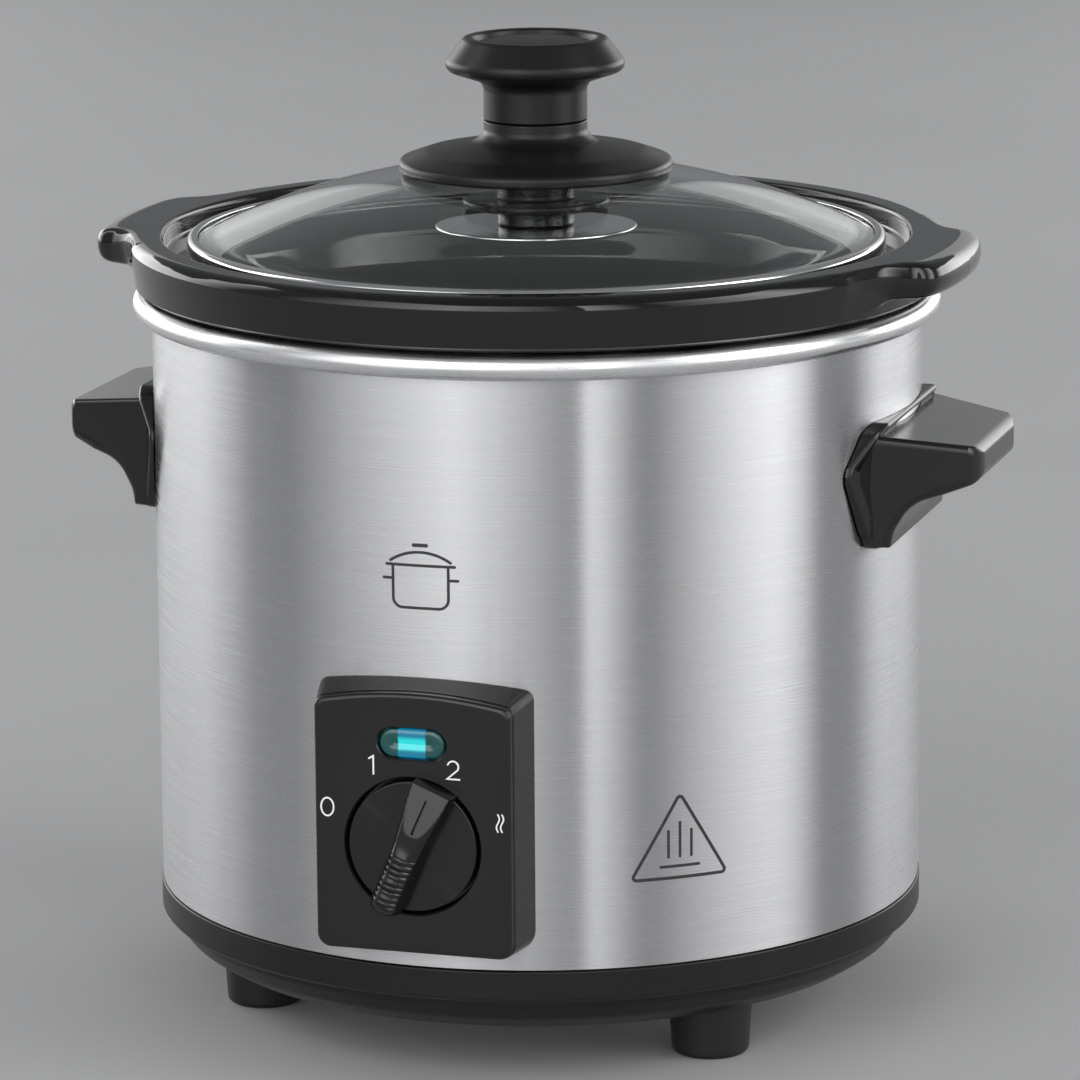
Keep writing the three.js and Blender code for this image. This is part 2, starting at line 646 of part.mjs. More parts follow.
// ---------- crock ----------
function crock() {
  const outside = turned([
    [0, 59], [57, 59], [59, CROCK_FOOT], [68, CROCK_FOOT], [75.4, 60], [78.6, 67],
    [82.4, 178], [83.6, CROCK_SEAT], [100.8, CROCK_SEAT], [102, 187.2],
    [CROCK_RIM_R, 197.2], [102.9, 198.8], [101.4, CROCK_TOP], [0, CROCK_TOP],
  ]);
  const inside = turned([
    [0, CROCK_FLOOR], [60, CROCK_FLOOR], [69, 67.6], [72.4, 76], [76.4, 180], [78.6, 189],
    [84, 193.8], [88, LEDGE_Z], [93.8, LEDGE_Z], [94.6, 195.2], [95.2, CROCK_TOP], [95.3, CROCK_TOP + 1],
    [0, CROCK_TOP + 1],
  ]);
  const root = 46;
  const cornerX = EAR_REACH - 2.4;
  const rootX = Math.sqrt(CROCK_RIM_R ** 2 - root ** 2) - 0.6;
  const ear = new THREE.Shape();
  ear.moveTo(90, -root);
  ear.lineTo(rootX, -root);
  ear.bezierCurveTo(98, -33, 101, -EAR_HALF - 1, cornerX - 4, -EAR_HALF);
  ear.quadraticCurveTo(cornerX, -EAR_HALF + 0.4, cornerX, -EAR_HALF + 4.5);
  ear.quadraticCurveTo(2 * EAR_REACH - cornerX, 0, cornerX, EAR_HALF - 4.5);
  ear.quadraticCurveTo(cornerX, EAR_HALF - 0.4, cornerX - 4, EAR_HALF);
  ear.bezierCurveTo(101, EAR_HALF + 1, 98, 33, rootX, root);
  ear.lineTo(90, root);
  let body = solid(outside);
  for (const turn of [0, Math.PI]) {
    const raisedEar = raised(ear, CROCK_TOP - EAR_T, CROCK_TOP - 0.01, 7).rotateZ(turn);
    body = body.add(solid(raisedEar));
  }
  add('crock', body.subtract(solid(inside)), material.glaze);
}

// ---------- lid ----------
const dome = (r, sphere = GLASS_SPHERE) =>
  GLASS_APEX - GLASS_SPHERE + Math.sqrt(sphere ** 2 - r ** 2);

function lidGlass() {
  const hole = 3.2;
  const brim = 84.6;
  const inner = GLASS_SPHERE - GLASS_T;
  const upper = [hole, 24, 46, 66, brim].map((r) => [r, dome(r)]);
  const lower = [82.6, 63, 42, 20, hole].map((r) => [r, dome(r, inner)]);
  const edge = [[GLASS_EDGE_R, 197.9], [GLASS_EDGE_R, 195.6], [85, 195.6]];
  add('lid_glass', turned([...upper, ...edge, ...lower], RING, true), material.glass);
  const lip = 86;
  const seat = LEDGE_Z + GAP;
  const band = [
    [lip, seat], [LID_BAND_R - 0.7, seat], [LID_BAND_R, seat + 0.7], [LID_BAND_R, LID_BAND_TOP - 0.7],
    [LID_BAND_R - 0.7, LID_BAND_TOP], [lip, LID_BAND_TOP], [lip, LID_BAND_TOP - 0.7],
    [GLASS_EDGE_R + GAP, LID_BAND_TOP - 0.8], [GLASS_EDGE_R + GAP, seat + 0.6], [lip, seat + 0.6],
  ];
  add('lid_rim_band', turned(band, RING, true), material.polished);
}

function knob() {
  const bore = 2.7;
  const socket = NECK_SEAM + 11;
  const cap = [
    [bore, NECK_SEAM + GAP / 2], [NECK_R, NECK_SEAM + GAP / 2], [NECK_R, 236], [14.2, 237.6],
    [19.6, 238.9], [22.2, 240.1], [22.9, 241.8], [22.2, 243.7], [19.2, 247.2], [17.6, KNOB_TOP],
    [16.6, KNOB_TOP], [15.2, 247.5], [14.8, 246.2], [0, 246.2], [0, socket], [bore, socket],
  ];
  add('knob_cap', turned(cap, KNOB_RING, true), material.satin);
  const disc = [[0, 246.5], [14.5, 246.5], [14.5, 247], [12.4, 247.5], [7, 248.1], [0, 248.3]];
  add('knob_disc', turned(disc, KNOB_RING), material.satin);
  const seatR = 11.6;
  const seatZ = 219.2;
  const skirt = [
    [bore, seatZ], [seatR, seatZ], [seatR, dome(seatR) + GAP + 0.6], [SKIRT_R - 1.6, 214.9],
    [SKIRT_R - 0.5, 215], [SKIRT_R, 216], [SKIRT_R - 0.5, 217.3], [32.6, 218.2], [16.6, 221.6],
    [14, 222.8], [NECK_R, 225], [NECK_R, NECK_SEAM - GAP / 2], [bore, NECK_SEAM - GAP / 2],
  ];
  add('knob_skirt', turned(skirt, KNOB_RING, true), material.satin);
  const gasketTop = seatZ - GAP;
  add('knob_gasket', tube(3.4, 11, GLASS_APEX + GAP, gasketTop), material.silicone);
  const under = GLASS_APEX - GLASS_T;
  add('boss_gasket', tube(3.4, 9, under - 1.6, under - 0.6), material.silicone);
  const bossTop = under - 1.9;
  const plateTop = 200;
  const boss = [
    [bore, plateTop + GAP], [9.6, plateTop + GAP], [9.6, 204.6], [18, 204.6], [18.5, 205.4],
    [18, 206.4], [9.6, 206.6], [9.6, bossTop], [bore, bossTop],
  ];
  add('lid_boss', turned(boss, KNOB_RING, true), material.gloss);
  add('drip_plate', tube(bore, 25.6, plateTop - 1, plateTop, RING), material.polished);
  const headH = 2.4;
  const at = V3(0, 0, plateTop - 1 - GAP - headH);
  add('knob_screw', screw(5, headH, 2.4, socket - 1 - at.z), material.zinc, { at });
}

baseRing();
bottomPlate();
ratingPlate();
feet();
tie();
heatingWell();
heaterBand();
heaterTerminals();
thermalFuse();
wiring();
cordGland();
outerShell();
handles();
controlPanel();
indicator();
rotarySwitch();
dial();
crock();
lidGlass();
knob();

export default cooker;
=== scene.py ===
"""Looks for the slow cooker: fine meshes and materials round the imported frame.

Lengths here are millimetres, measured from the cooker's own upright axis and the floor.
make() turns them into metres in the row frame.
"""

import json
import math

import bmesh
import bpy
from mathutils import Matrix, Vector


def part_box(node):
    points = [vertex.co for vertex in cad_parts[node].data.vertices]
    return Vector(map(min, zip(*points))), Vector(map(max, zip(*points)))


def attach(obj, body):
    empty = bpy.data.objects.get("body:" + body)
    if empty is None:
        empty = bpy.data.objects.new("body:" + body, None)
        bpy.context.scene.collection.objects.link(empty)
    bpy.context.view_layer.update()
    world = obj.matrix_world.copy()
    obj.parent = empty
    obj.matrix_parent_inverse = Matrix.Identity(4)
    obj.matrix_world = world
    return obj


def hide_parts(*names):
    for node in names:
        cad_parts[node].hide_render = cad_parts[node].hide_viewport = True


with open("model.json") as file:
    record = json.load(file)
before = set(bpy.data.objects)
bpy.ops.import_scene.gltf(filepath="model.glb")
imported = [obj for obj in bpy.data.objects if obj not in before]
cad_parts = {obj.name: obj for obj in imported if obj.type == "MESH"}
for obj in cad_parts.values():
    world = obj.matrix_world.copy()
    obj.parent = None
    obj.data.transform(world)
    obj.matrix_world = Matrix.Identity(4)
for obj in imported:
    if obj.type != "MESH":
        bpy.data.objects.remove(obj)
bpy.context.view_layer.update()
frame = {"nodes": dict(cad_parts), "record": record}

MM = 0.001
ROUND = 192  # facets round the large turned pieces
FINE = 64  # facets round the small ones
CREASE = math.radians(34)  # edges sharper than this keep a hard line

shell_low, shell_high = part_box("outer_shell")
AXIS = (shell_low + shell_high) / 2 / MM
AXIS.z = 0


def span(node):
    """A CAD node's lowest and highest corner, in millimetres from the cooker's axis."""
    low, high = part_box(node)
    return low / MM - AXIS, high / MM - AXIS


def middle_of(node):
    low, high = span(node)
    return (low + high) / 2


def named(start):
    """CAD nodes whose names start with any of these words."""
    return [node for node in frame["nodes"] if node.startswith(start)]


# ---------- driving places, read from the frame ----------
SHELL_LOW, SHELL_HIGH = span("outer_shell")
SHELL_R = SHELL_HIGH.x
CASING_R = SHELL_R + 0.3  # what stands on the casing keeps this clear of it
CROCK_LOW, CROCK_HIGH = span("crock")
LENS_HIGH = span("indicator_lens")[1]
DIAL_FRONT = span("dial_knob")[0].y
GLASS_R = span("lid_glass")[1].x
HANDLE_TIP = span("handle_right")[1].x
PANEL_Y = span("control_panel")[0].y  # front face of the panel
DIAL_Z = middle_of("switch_shaft").z
DIAL_REST = math.radians(22.5)  # the grip points to 2
LENS_Z = middle_of("indicator_lens").z


# ---------- geometry helpers ----------
def rounded(corners, closed=False, step=11):
    """Points along an outline of (x, y) or (x, y, radius) corners, rounding those with a radius."""
    points = []
    for i, corner in enumerate(corners):
        here = Vector(corner[:2])
        if len(corner) < 3 or not (closed or 0 < i < len(corners) - 1):
            points.append(here)
            continue
        before = Vector(corners[i - 1][:2]) - here
        after = Vector(corners[(i + 1) % len(corners)][:2]) - here
        half = before.angle(after) / 2
        longest = 0.49 * min(before.length, after.length)
        reach = min(corner[2] / math.tan(half), longest)
        radius = reach * math.tan(half)
        middle = before.normalized() + after.normalized()
        centre = here + middle.normalized() * radius / math.sin(half)
        first = here + before.normalized() * reach - centre
        last = here + after.normalized() * reach - centre
        sweep = math.pi - 2 * half
        steps = max(2, math.ceil(math.degrees(sweep) / step))
        for k in range(steps + 1):
            t = k / steps
            near = math.sin((1 - t) * sweep) / math.sin(sweep)
            far = math.sin(t * sweep) / math.sin(sweep)
            points.append(centre + first * near + last * far)
    return points


def arc(centre, radius, start, end, steps):
    """Points on a circle from one angle to another, in degrees."""
    angles = [math.radians(start + (end - start) * k / steps) for k in range(steps + 1)]
    return [(centre[0] + radius * math.cos(a), centre[1] + radius * math.sin(a)) for a in angles]


def curve(points, steps):
    """A smooth path through the points, as Catmull-Rom stretches of that many steps."""
    knots = [Vector(p) for p in points]
    knots = [2 * knots[0] - knots[1], *knots, 2 * knots[-1] - knots[-2]]
    path = []
    for a, b, c, d in zip(knots, knots[1:], knots[2:], knots[3:]):
        for k in range(steps):
            t = k / steps
            path.append(
                0.5 * (2 * b + (c - a) * t + (2 * a - 5 * b + 4 * c - d) * t**2
                       + (3 * b - a - 3 * c + d) * t**3)
            )
    return path + [knots[-2]]


def smooth(t):
    t = min(1, max(0, t))
    return t * t * (3 - 2 * t)


def skin(shape, rings, loop=False, caps=False, wrap=True):
    """Adds the surface over rings of 3-D points to a bmesh: the last ring joins the first if loop."""
    rows = [[shape.verts.new(p) for p in ring] for ring in rings]
    pairs = list(zip(rows, rows[1:]))
    if loop:
        pairs.append((rows[-1], rows[0]))
    for a, b in pairs:
        for j in range(len(a) if wrap else len(a) - 1):
            k = (j + 1) % len(a)
            shape.faces.new((a[j], a[k], b[k], b[j]))
    if caps:
        shape.faces.new(rows[0])
        shape.faces.new(rows[-1])


def mesh_of(name, shape, move=None):
    """Closes a bmesh in millimetres and keeps it as an object in metres in the row frame."""
    bmesh.ops.remove_doubles(shape, verts=shape.verts, dist=1e-4)
    bmesh.ops.dissolve_degenerate(shape, dist=1e-5, edges=shape.edges)
    loose = [edge for edge in shape.edges if not edge.link_faces]
    bmesh.ops.delete(shape, geom=loose, context="EDGES")
    bmesh.ops.recalc_face_normals(shape, faces=shape.faces)
    if move is not None:
        bmesh.ops.transform(shape, matrix=move, verts=shape.verts)
    place = Matrix.Scale(MM, 4) @ Matrix.Translation(AXIS)
    bmesh.ops.transform(shape, matrix=place, verts=shape.verts)
    mesh = bpy.data.meshes.new(name)
    shape.to_mesh(mesh)
    shape.free()
    piece = bpy.data.objects.new(name, mesh)
    bpy.context.scene.collection.objects.link(piece)
    return piece


def make(name, rings, move=None, **how):
    shape = bmesh.new()
    skin(shape, rings, **how)
    return mesh_of(name, shape, move)


def turned(name, outline, closed=True, facets=ROUND, move=None):
    """A piece turned round the Z axis from an outline of (radius, height) points."""
    turns = [2 * math.pi * j / facets for j in range(facets)]
    rings = [[(r * math.cos(a), r * math.sin(a), z) for a in turns] for r, z in outline]
    return make(name, rings, move, loop=closed)


def inward_normals(outline):
    """Unit normals to the left of a closed outline, which is inwards if it runs anticlockwise."""
    normals = []
    for before, after in zip(outline[-1:] + outline[:-1], outline[1:] + outline[:1]):
        edge = (after - before).normalized()
        normals.append(Vector((-edge.y, edge.x)))
    return normals


def pillow(outline, half, radius, steps=5):
    """Rings of an outline in the XZ plane, extruded to y = -half and half with rounded rims."""
    inwards = inward_normals(outline)
    area = sum(a.cross(b) for a, b in zip(outline, outline[1:] + outline[:1]))
    side = 1 if area > 0 else -1
    rings = []
    for k in range(2 * steps + 2):
        t = math.pi / 2 * (1 - k / steps if k <= steps else (k - steps - 1) / steps)
        inset = radius * (1 - math.cos(t)) * side
        depth = (half - radius + radius * math.sin(t)) * (-1 if k <= steps else 1)
        rings.append([(p.x + n.x * inset, depth, p.y + n.y * inset) for p, n in zip(outline, inwards)])
    return rings


def combine(piece, others, operation="DIFFERENCE"):
    """Cuts the other solids from a piece, or joins them to it, and keeps the result as its mesh."""
    for other in others:
        modifier = piece.modifiers.new("combine", "BOOLEAN")
        modifier.operation = operation
        modifier.solver = "MANIFOLD"
        modifier.object = other
    seen = piece.evaluated_get(bpy.context.evaluated_depsgraph_get())
    mesh = bpy.data.meshes.new_from_object(seen)
    piece.modifiers.clear()
    piece.data = mesh
    for other in others:
        bpy.data.objects.remove(other)
    return piece


def block(low, high):
    corners = [(low[0], low[1]), (high[0], low[1]), (high[0], high[1]), (low[0], high[1])]
    return make("cutter", [[(x, y, z) for x, y in corners] for z in (low[2], high[2])], caps=True)


def along(axis):
    """Turns a piece's Z axis to +Y or +X."""
    return Matrix.Rotation(math.radians(-90), 4, "X") if axis == "Y" else Matrix.Rotation(
        math.radians(90), 4, "Y")


def drill(axis, radius, low, high, at):
    """A round cutter from low to high along an axis, through the point at."""
    outline = [(0, low), (radius, low), (radius, high), (0, high)]
    return turned("cutter", outline, False, FINE // 2, Matrix.Translation(at) @ along(axis))


# ---------- materials ----------
class Finish:
    """A Principled material with noise-driven colour, roughness and bump."""

    def __init__(self, name, colour, roughness, metallic=0.0, **constants):
        self.material = bpy.data.materials.new(name)
        self.material.use_nodes = True
        self.tree = self.material.node_tree
        self.shader = self.tree.nodes["Principled BSDF"]
        self.shader.inputs["Base Color"].default_value = (*colour, 1)
        self.shader.inputs["Roughness"].default_value = roughness
        self.shader.inputs["Metallic"].default_value = metallic
        for socket, value in constants.items():
            self.shader.inputs[socket.replace("_", " ")].default_value = value
        self.place = self.tree.nodes.new("ShaderNodeTexCoord").outputs["Object"]

    def node(self, kind, **inputs):
        made = self.tree.nodes.new(kind)
        for name, value in inputs.items():
            socket = made.inputs[name.replace("_", " ")]
            if isinstance(value, bpy.types.NodeSocket):
                self.tree.links.new(value, socket)
            else:
                socket.default_value = value
        return made

    def noise(self, per_metre, detail=2.0, rough=0.5):
        """Noise with that many cells to the metre along X, Y and Z."""
        scaled = self.node("ShaderNodeMapping", Vector=self.place, Scale=per_metre)
        made = self.node("ShaderNodeTexNoise", Vector=scaled.outputs[0], Scale=1.0, Detail=detail,
                         Roughness=rough)
        return made.outputs["Fac"]

    def between(self, value, low, high, start=0.3, end=0.7):
        ranged = self.node("ShaderNodeMapRange", Value=value)
        for name, number in zip(("From Min", "From Max", "To Min", "To Max"), (start, end, low, high)):
            ranged.inputs[name].default_value = number
        return ranged.outputs[0]

    def tint(self, value, dark, light):
        """Base colour from dark to light as value goes from 0 to 1."""
        mix = self.tree.nodes.new("ShaderNodeMix")
        mix.data_type = "RGBA"
        self.tree.links.new(value, mix.inputs["Factor"])
        mix.inputs["A"].default_value = (*dark, 1)
        mix.inputs["B"].default_value = (*light, 1)
        # A Mix node has one output for each data type, and the colour one isn't the first.
        colour = next(o for o in mix.outputs if o.type == "RGBA")
        self.tree.links.new(colour, self.shader.inputs["Base Color"])
        return self

    def rough(self, value, low, high):
        self.tree.links.new(self.between(value, low, high), self.shader.inputs["Roughness"])
        return self

    def bump(self, value, height):
        """Height in millimetres."""
        made = self.node("ShaderNodeBump", Strength=1.0, Distance=height * MM, Height=value)
        self.tree.links.new(made.outputs["Normal"], self.shader.inputs["Normal"])
        return self

    def edge_highlight(self):
        """How convex the surface is here, from 0.5 when flat to 1 on a sharp edge: moulded() paints a
        highlight along convex edges with it.
        """
        return self.tree.nodes.new("ShaderNodeNewGeometry").outputs["Pointiness"]


def grey(value):
    return (value, value, value * 1.02)


def casing_steel():
    look = Finish("casing_steel", grey(0.56), 0.27, 1.0, Anisotropic=1.0, Anisotropic_Rotation=0.25)
    lines = look.noise((28, 28, 5200), 3, 0.6)
    look.tint(look.between(lines, 0, 1, 0.25, 0.75), grey(0.55), grey(0.59))
    return look.rough(lines, 0.25, 0.28).bump(lines, 0.0003)


def polished(name, colour, roughness):
    look = Finish(name, colour, roughness, 1.0)
    lines = look.noise((60, 60, 3000), 2)
    cloud = look.noise((30, 30, 30), 3)
    look.tint(look.between(cloud, 0, 1), tuple(c * 0.95 for c in colour), colour)
    return look.rough(lines, roughness * 0.8, roughness * 1.3).bump(lines, 0.001)


def bead_metal():
    return polished("bead_metal", (0.84, 0.84, 0.85), 0.28)


def rim_steel():
    return polished("rim_steel", (0.84, 0.84, 0.85), 0.12)


def moulded(name, dark, light, roughness, grain_mm=0.012, **constants):
    look = Finish(name, dark, roughness, **constants)
    grain = look.noise((1700, 1700, 1700), 2)
    cloud = look.noise((22, 22, 22), 3)
    # Convex edges take the lighter colour: a painted highlight along the edges.
    look.tint(look.between(look.edge_highlight(), 0, 1, 0.5, 0.62), dark, light)
    return look.rough(cloud, roughness * 0.92, roughness * 1.1).bump(grain, grain_mm)


# The second colour of each moulded finish is the painted edge highlight.
def satin_black():
    return moulded("satin_black", grey(0.006), grey(0.012), 0.34, Specular_IOR_Level=0.35)


def gloss_black():
    return moulded("gloss_black", grey(0.006), grey(0.012), 0.2, 0.004, Specular_IOR_Level=0.5)


def foot_black():
    return moulded("foot_black", grey(0.005), grey(0.008), 0.45)


def gland_rubber():
    return moulded("gland_rubber", grey(0.016), grey(0.022), 0.6, 0.02)


def silicone():
    return moulded("silicone", grey(0.1), grey(0.12), 0.55, 0.01)


def nylon():
    return moulded("nylon", (0.74, 0.73, 0.69), (0.8, 0.79, 0.75), 0.45, 0.01)


def crock_glaze():
    look = Finish("crock_glaze", grey(0.003), 0.05, Coat_Weight=0.2, Coat_Roughness=0.03)
    waves = look.noise((55, 55, 55), 2)
    specks = look.noise((900, 900, 900), 1)
    look.tint(look.between(specks, 0, 1, 0.62, 0.72), grey(0.003), grey(0.006))
    return look.rough(waves, 0.04, 0.075).bump(waves, 0.03)


def lid_glass():
    look = Finish("lid_glass", (0.97, 0.985, 0.98), 0.0, Transmission_Weight=1.0, IOR=1.5)
    smears = look.noise((18, 18, 40), 3)
    look.rough(smears, 0.0, 0.012)
    tree = look.tree
    clear = tree.nodes.new("ShaderNodeBsdfTransparent")
    ray = tree.nodes.new("ShaderNodeLightPath")
    mix = tree.nodes.new("ShaderNodeMixShader")
    tree.links.new(ray.outputs["Is Shadow Ray"], mix.inputs[0])
    tree.links.new(look.shader.outputs[0], mix.inputs[1])
    tree.links.new(clear.outputs[0], mix.inputs[2])
    tree.links.new(mix.outputs[0], tree.nodes["Material Output"].inputs["Surface"])
    return look


LAMP_HALF = 3.5  # half width of the lens's lit middle


def lens_teal():
    """Teal plastic, lit in its middle, bluer towards the middle's top and bottom."""
    look = Finish("lens_teal", (0.002, 0.07, 0.07), 0.12, Coat_Weight=0.5, Coat_Roughness=0.05)
    split = look.node("ShaderNodeSeparateXYZ", Vector=look.place)
    across = look.node("ShaderNodeMath")
    across.operation = "ABSOLUTE"
    look.tree.links.new(split.outputs["X"], across.inputs[0])
    lit = look.between(across.outputs[0], 1, 0, LAMP_HALF * 0.94 * MM, LAMP_HALF * 1.04 * MM)
    middle = LENS_Z * MM
    above = look.between(split.outputs["Z"], 0, 1, middle + 0.9 * MM, middle + 1.9 * MM)
    below = look.between(split.outputs["Z"], 1, 0, middle - 2.0 * MM, middle - 1.2 * MM)
    edge = look.node("ShaderNodeMath")
    edge.operation = "MAXIMUM"
    look.tree.links.new(above, edge.inputs[0])
    look.tree.links.new(below, edge.inputs[1])
    glow = look.tree.nodes.new("ShaderNodeMix")
    glow.data_type = "RGBA"
    look.tree.links.new(edge.outputs[0], glow.inputs["Factor"])
    glow.inputs["A"].default_value = (0.01, 0.66, 0.68, 1)
    glow.inputs["B"].default_value = (0.0, 0.14, 0.27, 1)
    colour = next(o for o in glow.outputs if o.type == "RGBA")
    look.tree.links.new(colour, look.shader.inputs["Emission Color"])
    look.tree.links.new(lit, look.shader.inputs["Emission Strength"])
    ripples = look.noise((500, 500, 500), 2)
    return look.bump(ripples, 0.02)


def lamp_glass():
    look = Finish("lamp_glass", (0.6, 0.95, 1.0), 0.2, Emission_Color=(0.1, 0.8, 0.9, 1),
                  Emission_Strength=1.0)
    return look.rough(look.noise((300, 300, 300)), 0.15, 0.3)


def metal(name, value, roughness, scale=(400, 400, 400)):
    look = Finish(name, grey(value), roughness, 1.0)
    marks = look.noise(scale, 3)
    look.tint(look.between(marks, 0, 1), grey(value * 0.85), grey(value * 1.08))
    return look.rough(marks, roughness * 0.8, roughness * 1.25).bump(marks, 0.01)


def fastener_zinc():
    return metal("fastener_zinc", 0.6, 0.32)


def plate_steel():
    return metal("plate_steel", 0.5, 0.42, (60, 60, 60))


def spacer_metal():
    return metal("spacer_metal", 0.68, 0.35, (60, 60, 4000))


def blank_plate():
    return metal("blank_plate", 0.6, 0.45, (40, 3000, 40))


def switch_ceramic():
    look = Finish("switch_ceramic", (0.82, 0.8, 0.74), 0.5)
    specks = look.noise((1500, 1500, 1500), 2)
    look.tint(look.between(specks, 0, 1), (0.76, 0.73, 0.66), (0.84, 0.82, 0.76))
    return look.rough(specks, 0.4, 0.6).bump(specks, 0.02)


def wire_sleeve():
    """Braided glass-fibre sleeve: two families of slanting strands."""
    look = Finish("wire_sleeve", (0.6, 0.53, 0.34), 0.75)
    turns = []
    for slant in (1, -1):
        laid = look.node("ShaderNodeMapping", Vector=look.place,
                         Rotation=(0.6 * slant, 0.6, 0.8 * slant))
        wave = look.node("ShaderNodeTexWave", Vector=laid.outputs[0], Scale=420.0)
        turns.append(wave.outputs["Fac"])
    weave = look.node("ShaderNodeMath")
    weave.operation = "MAXIMUM"
    for value, socket in zip(turns, weave.inputs):
        look.tree.links.new(value, socket)
    look.tint(weave.outputs[0], (0.42, 0.36, 0.22), (0.66, 0.6, 0.42))
    return look.bump(weave.outputs[0], 0.1)


FINISHES = (
    casing_steel, bead_metal, satin_black, gloss_black, foot_black, gland_rubber, crock_glaze,
    lid_glass, rim_steel, silicone, lens_teal, lamp_glass, fastener_zinc, plate_steel,
    spacer_metal, switch_ceramic, nylon, wire_sleeve, blank_plate,
)
materials = {finish.__name__: finish().material for finish in FINISHES}
node_slot = {part["node"]: part["material_slot"] for part in frame["record"]["subparts"]}
node_body = {n: body for body, nodes in frame["record"]["behaviour"]["bodies"].items() for n in nodes}

for node, cad_object in frame["nodes"].items():
    for place in cad_object.material_slots:
        place.material = materials[node_slot[node]]


def finish_mesh(piece, material):
    """Smooth shading with hard creases, flats kept flat."""
    piece.data.materials.clear()
    piece.data.materials.append(material)
    piece.data.shade_smooth()
    piece.data.set_sharp_from_angle(angle=CREASE)
    normals = piece.modifiers.new("normals", "WEIGHTED_NORMAL")
    normals.keep_sharp = True
    return piece


def stand_in(piece, *nodes):
    """The piece stands for these CAD nodes: their finish, their body, their name."""
    finish_mesh(piece, materials[node_slot[nodes[0]]])
    piece.name = "fine_" + nodes[0]
    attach(piece, node_body[nodes[0]])
    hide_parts(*nodes)
    return piece


# ---------- casing ----------
def outer_shell():
    inner = SHELL_R - 0.8
    low, high = SHELL_LOW.z, SHELL_HIGH.z
    outline = [(inner, low), (SHELL_R, low), (SHELL_R, high, 0.35), (inner, high, 0.35)]
    shell = turned("shell", rounded(outline, True))
    cuts = [block((-16, -100, 50), (16, -80, 97))]
    cuts.append(drill("Y", 6.3, -5, 5, Vector((0, 95, middle_of("gland_nut").z))))
    for node in named(("panel_screw", "handle_screw")):
        axis = "Y" if node.startswith("panel") else "X"
        cuts.append(drill(axis, 1.9, -8, 8, middle_of(node)))
    stand_in(combine(shell, cuts), "outer_shell")


def heating_well():
    wall, lip = 86, 185.5
    floor = span("heating_well")[0].z
    bead = arc((99.5, 182.3), 3.2, 150, 430, 28)
    outside = rounded([(0, floor), (wall, floor, 5), (wall, lip - 1.1, 4), (96, lip - 1.1)])
    inside = rounded([(99.6, lip), (wall - 1, lip, 5), (wall - 1, floor + 1, 4.2), (0, floor + 1)])
    stand_in(turned("well", [*outside, *bead, *inside], False), "heating_well")


def base_ring():
    low, high = span("base_ring")
    step = 24.3
    joint = 32.3
    inner = 58
    outline = rounded([
        (inner, low.z, 0.6), (87.5, low.z, 2.4), (92.6, 18.4, 5), (95.3, 22.4, 3), (95.4, step, 0.5),
        (97.7, step, 0.3), (high.x, step + 0.8, 0.7), (high.x, joint, 0.5), (96.8, joint),
        (96.8, high.z, 0.4), (94.2, high.z, 0.4), (94.2, 26.5, 3), (91.4, 21, 3), (86.4, 17.4, 1.5),
        (inner, 17.4, 0.6),
    ], True)
    ring = turned("base", outline)
    holes = []
    for node in named("foot_screw"):
        middle = middle_of(node)
        outline = [(0, 10), (2.2, 10), (2.2, 20), (0, 20)]
        holes.append(turned("cutter", outline, False, FINE // 2,
                            Matrix.Translation((middle.x, middle.y, 0))))
    stand_in(combine(ring, holes), "base_ring")


def feet():
    web = 9.5
    for node in ("foot_front_left", "foot_front_right", "foot_rear"):
        low, high = span(node)
        middle = (low + high) / 2
        top = high.x - middle.x
        outline = rounded([
            (2.3, web, 0.3), (5.2, web, 0.4), (5.2, 0, 0.4), (top - 1, 0, 1.6), (top, high.z, 0.5),
            (2.3, high.z),
        ], True)
        move = Matrix.Translation((middle.x, middle.y, 0))
        stand_in(turned(node, outline, True, FINE, move), node)


# ---------- handles ----------
def handle_grip(tip):
    """The shelf to lift by, along +X: a block that narrows to its tip, over walls down to the flange."""
    root, back = 96.0, 92.2
    root_half, tip_half = 31.0, 24.3
    corner = 7.5  # radius of the shelf's upright corners at the tip
    edge = 1.9
    outline = rounded([
        (back, 156.8), (root, 156.5), (tip, 153.3, 3.4), (tip, 144.4, 3.8), (112, 141.6, 10),
        (104.4, 139.3, 11), (100.4, 132.4, 8), (99.6, 128.2, 0.5), (back, 128.2),
    ], step=6)
    fitted = []
    for ring in pillow(outline, root_half, edge):
        points = []
        for x, across, z in ring:
            half = root_half + (tip_half - root_half) * max(0, x - root) / (tip - root)
            over = min(corner, x - (tip - corner))
            if over > 0:
                half -= corner - math.sqrt(corner**2 - over**2)
            points.append((x, across / root_half * half, z))
        fitted.append(points)
    return fitted


FLANGE = [
    (-29.4, 127.6, 4), (29.4, 127.6, 4), (33, 132.4, 10), (38.4, 145.4, 5), (38.4, 148.8, 4.5),
    (31.6, 157.4, 5), (27, 159.2, 7), (-27, 159.2, 7), (-31.6, 157.4, 5), (-38.4, 148.8, 4.5),
    (-38.4, 145.4, 5), (-33, 132.4, 10),
]


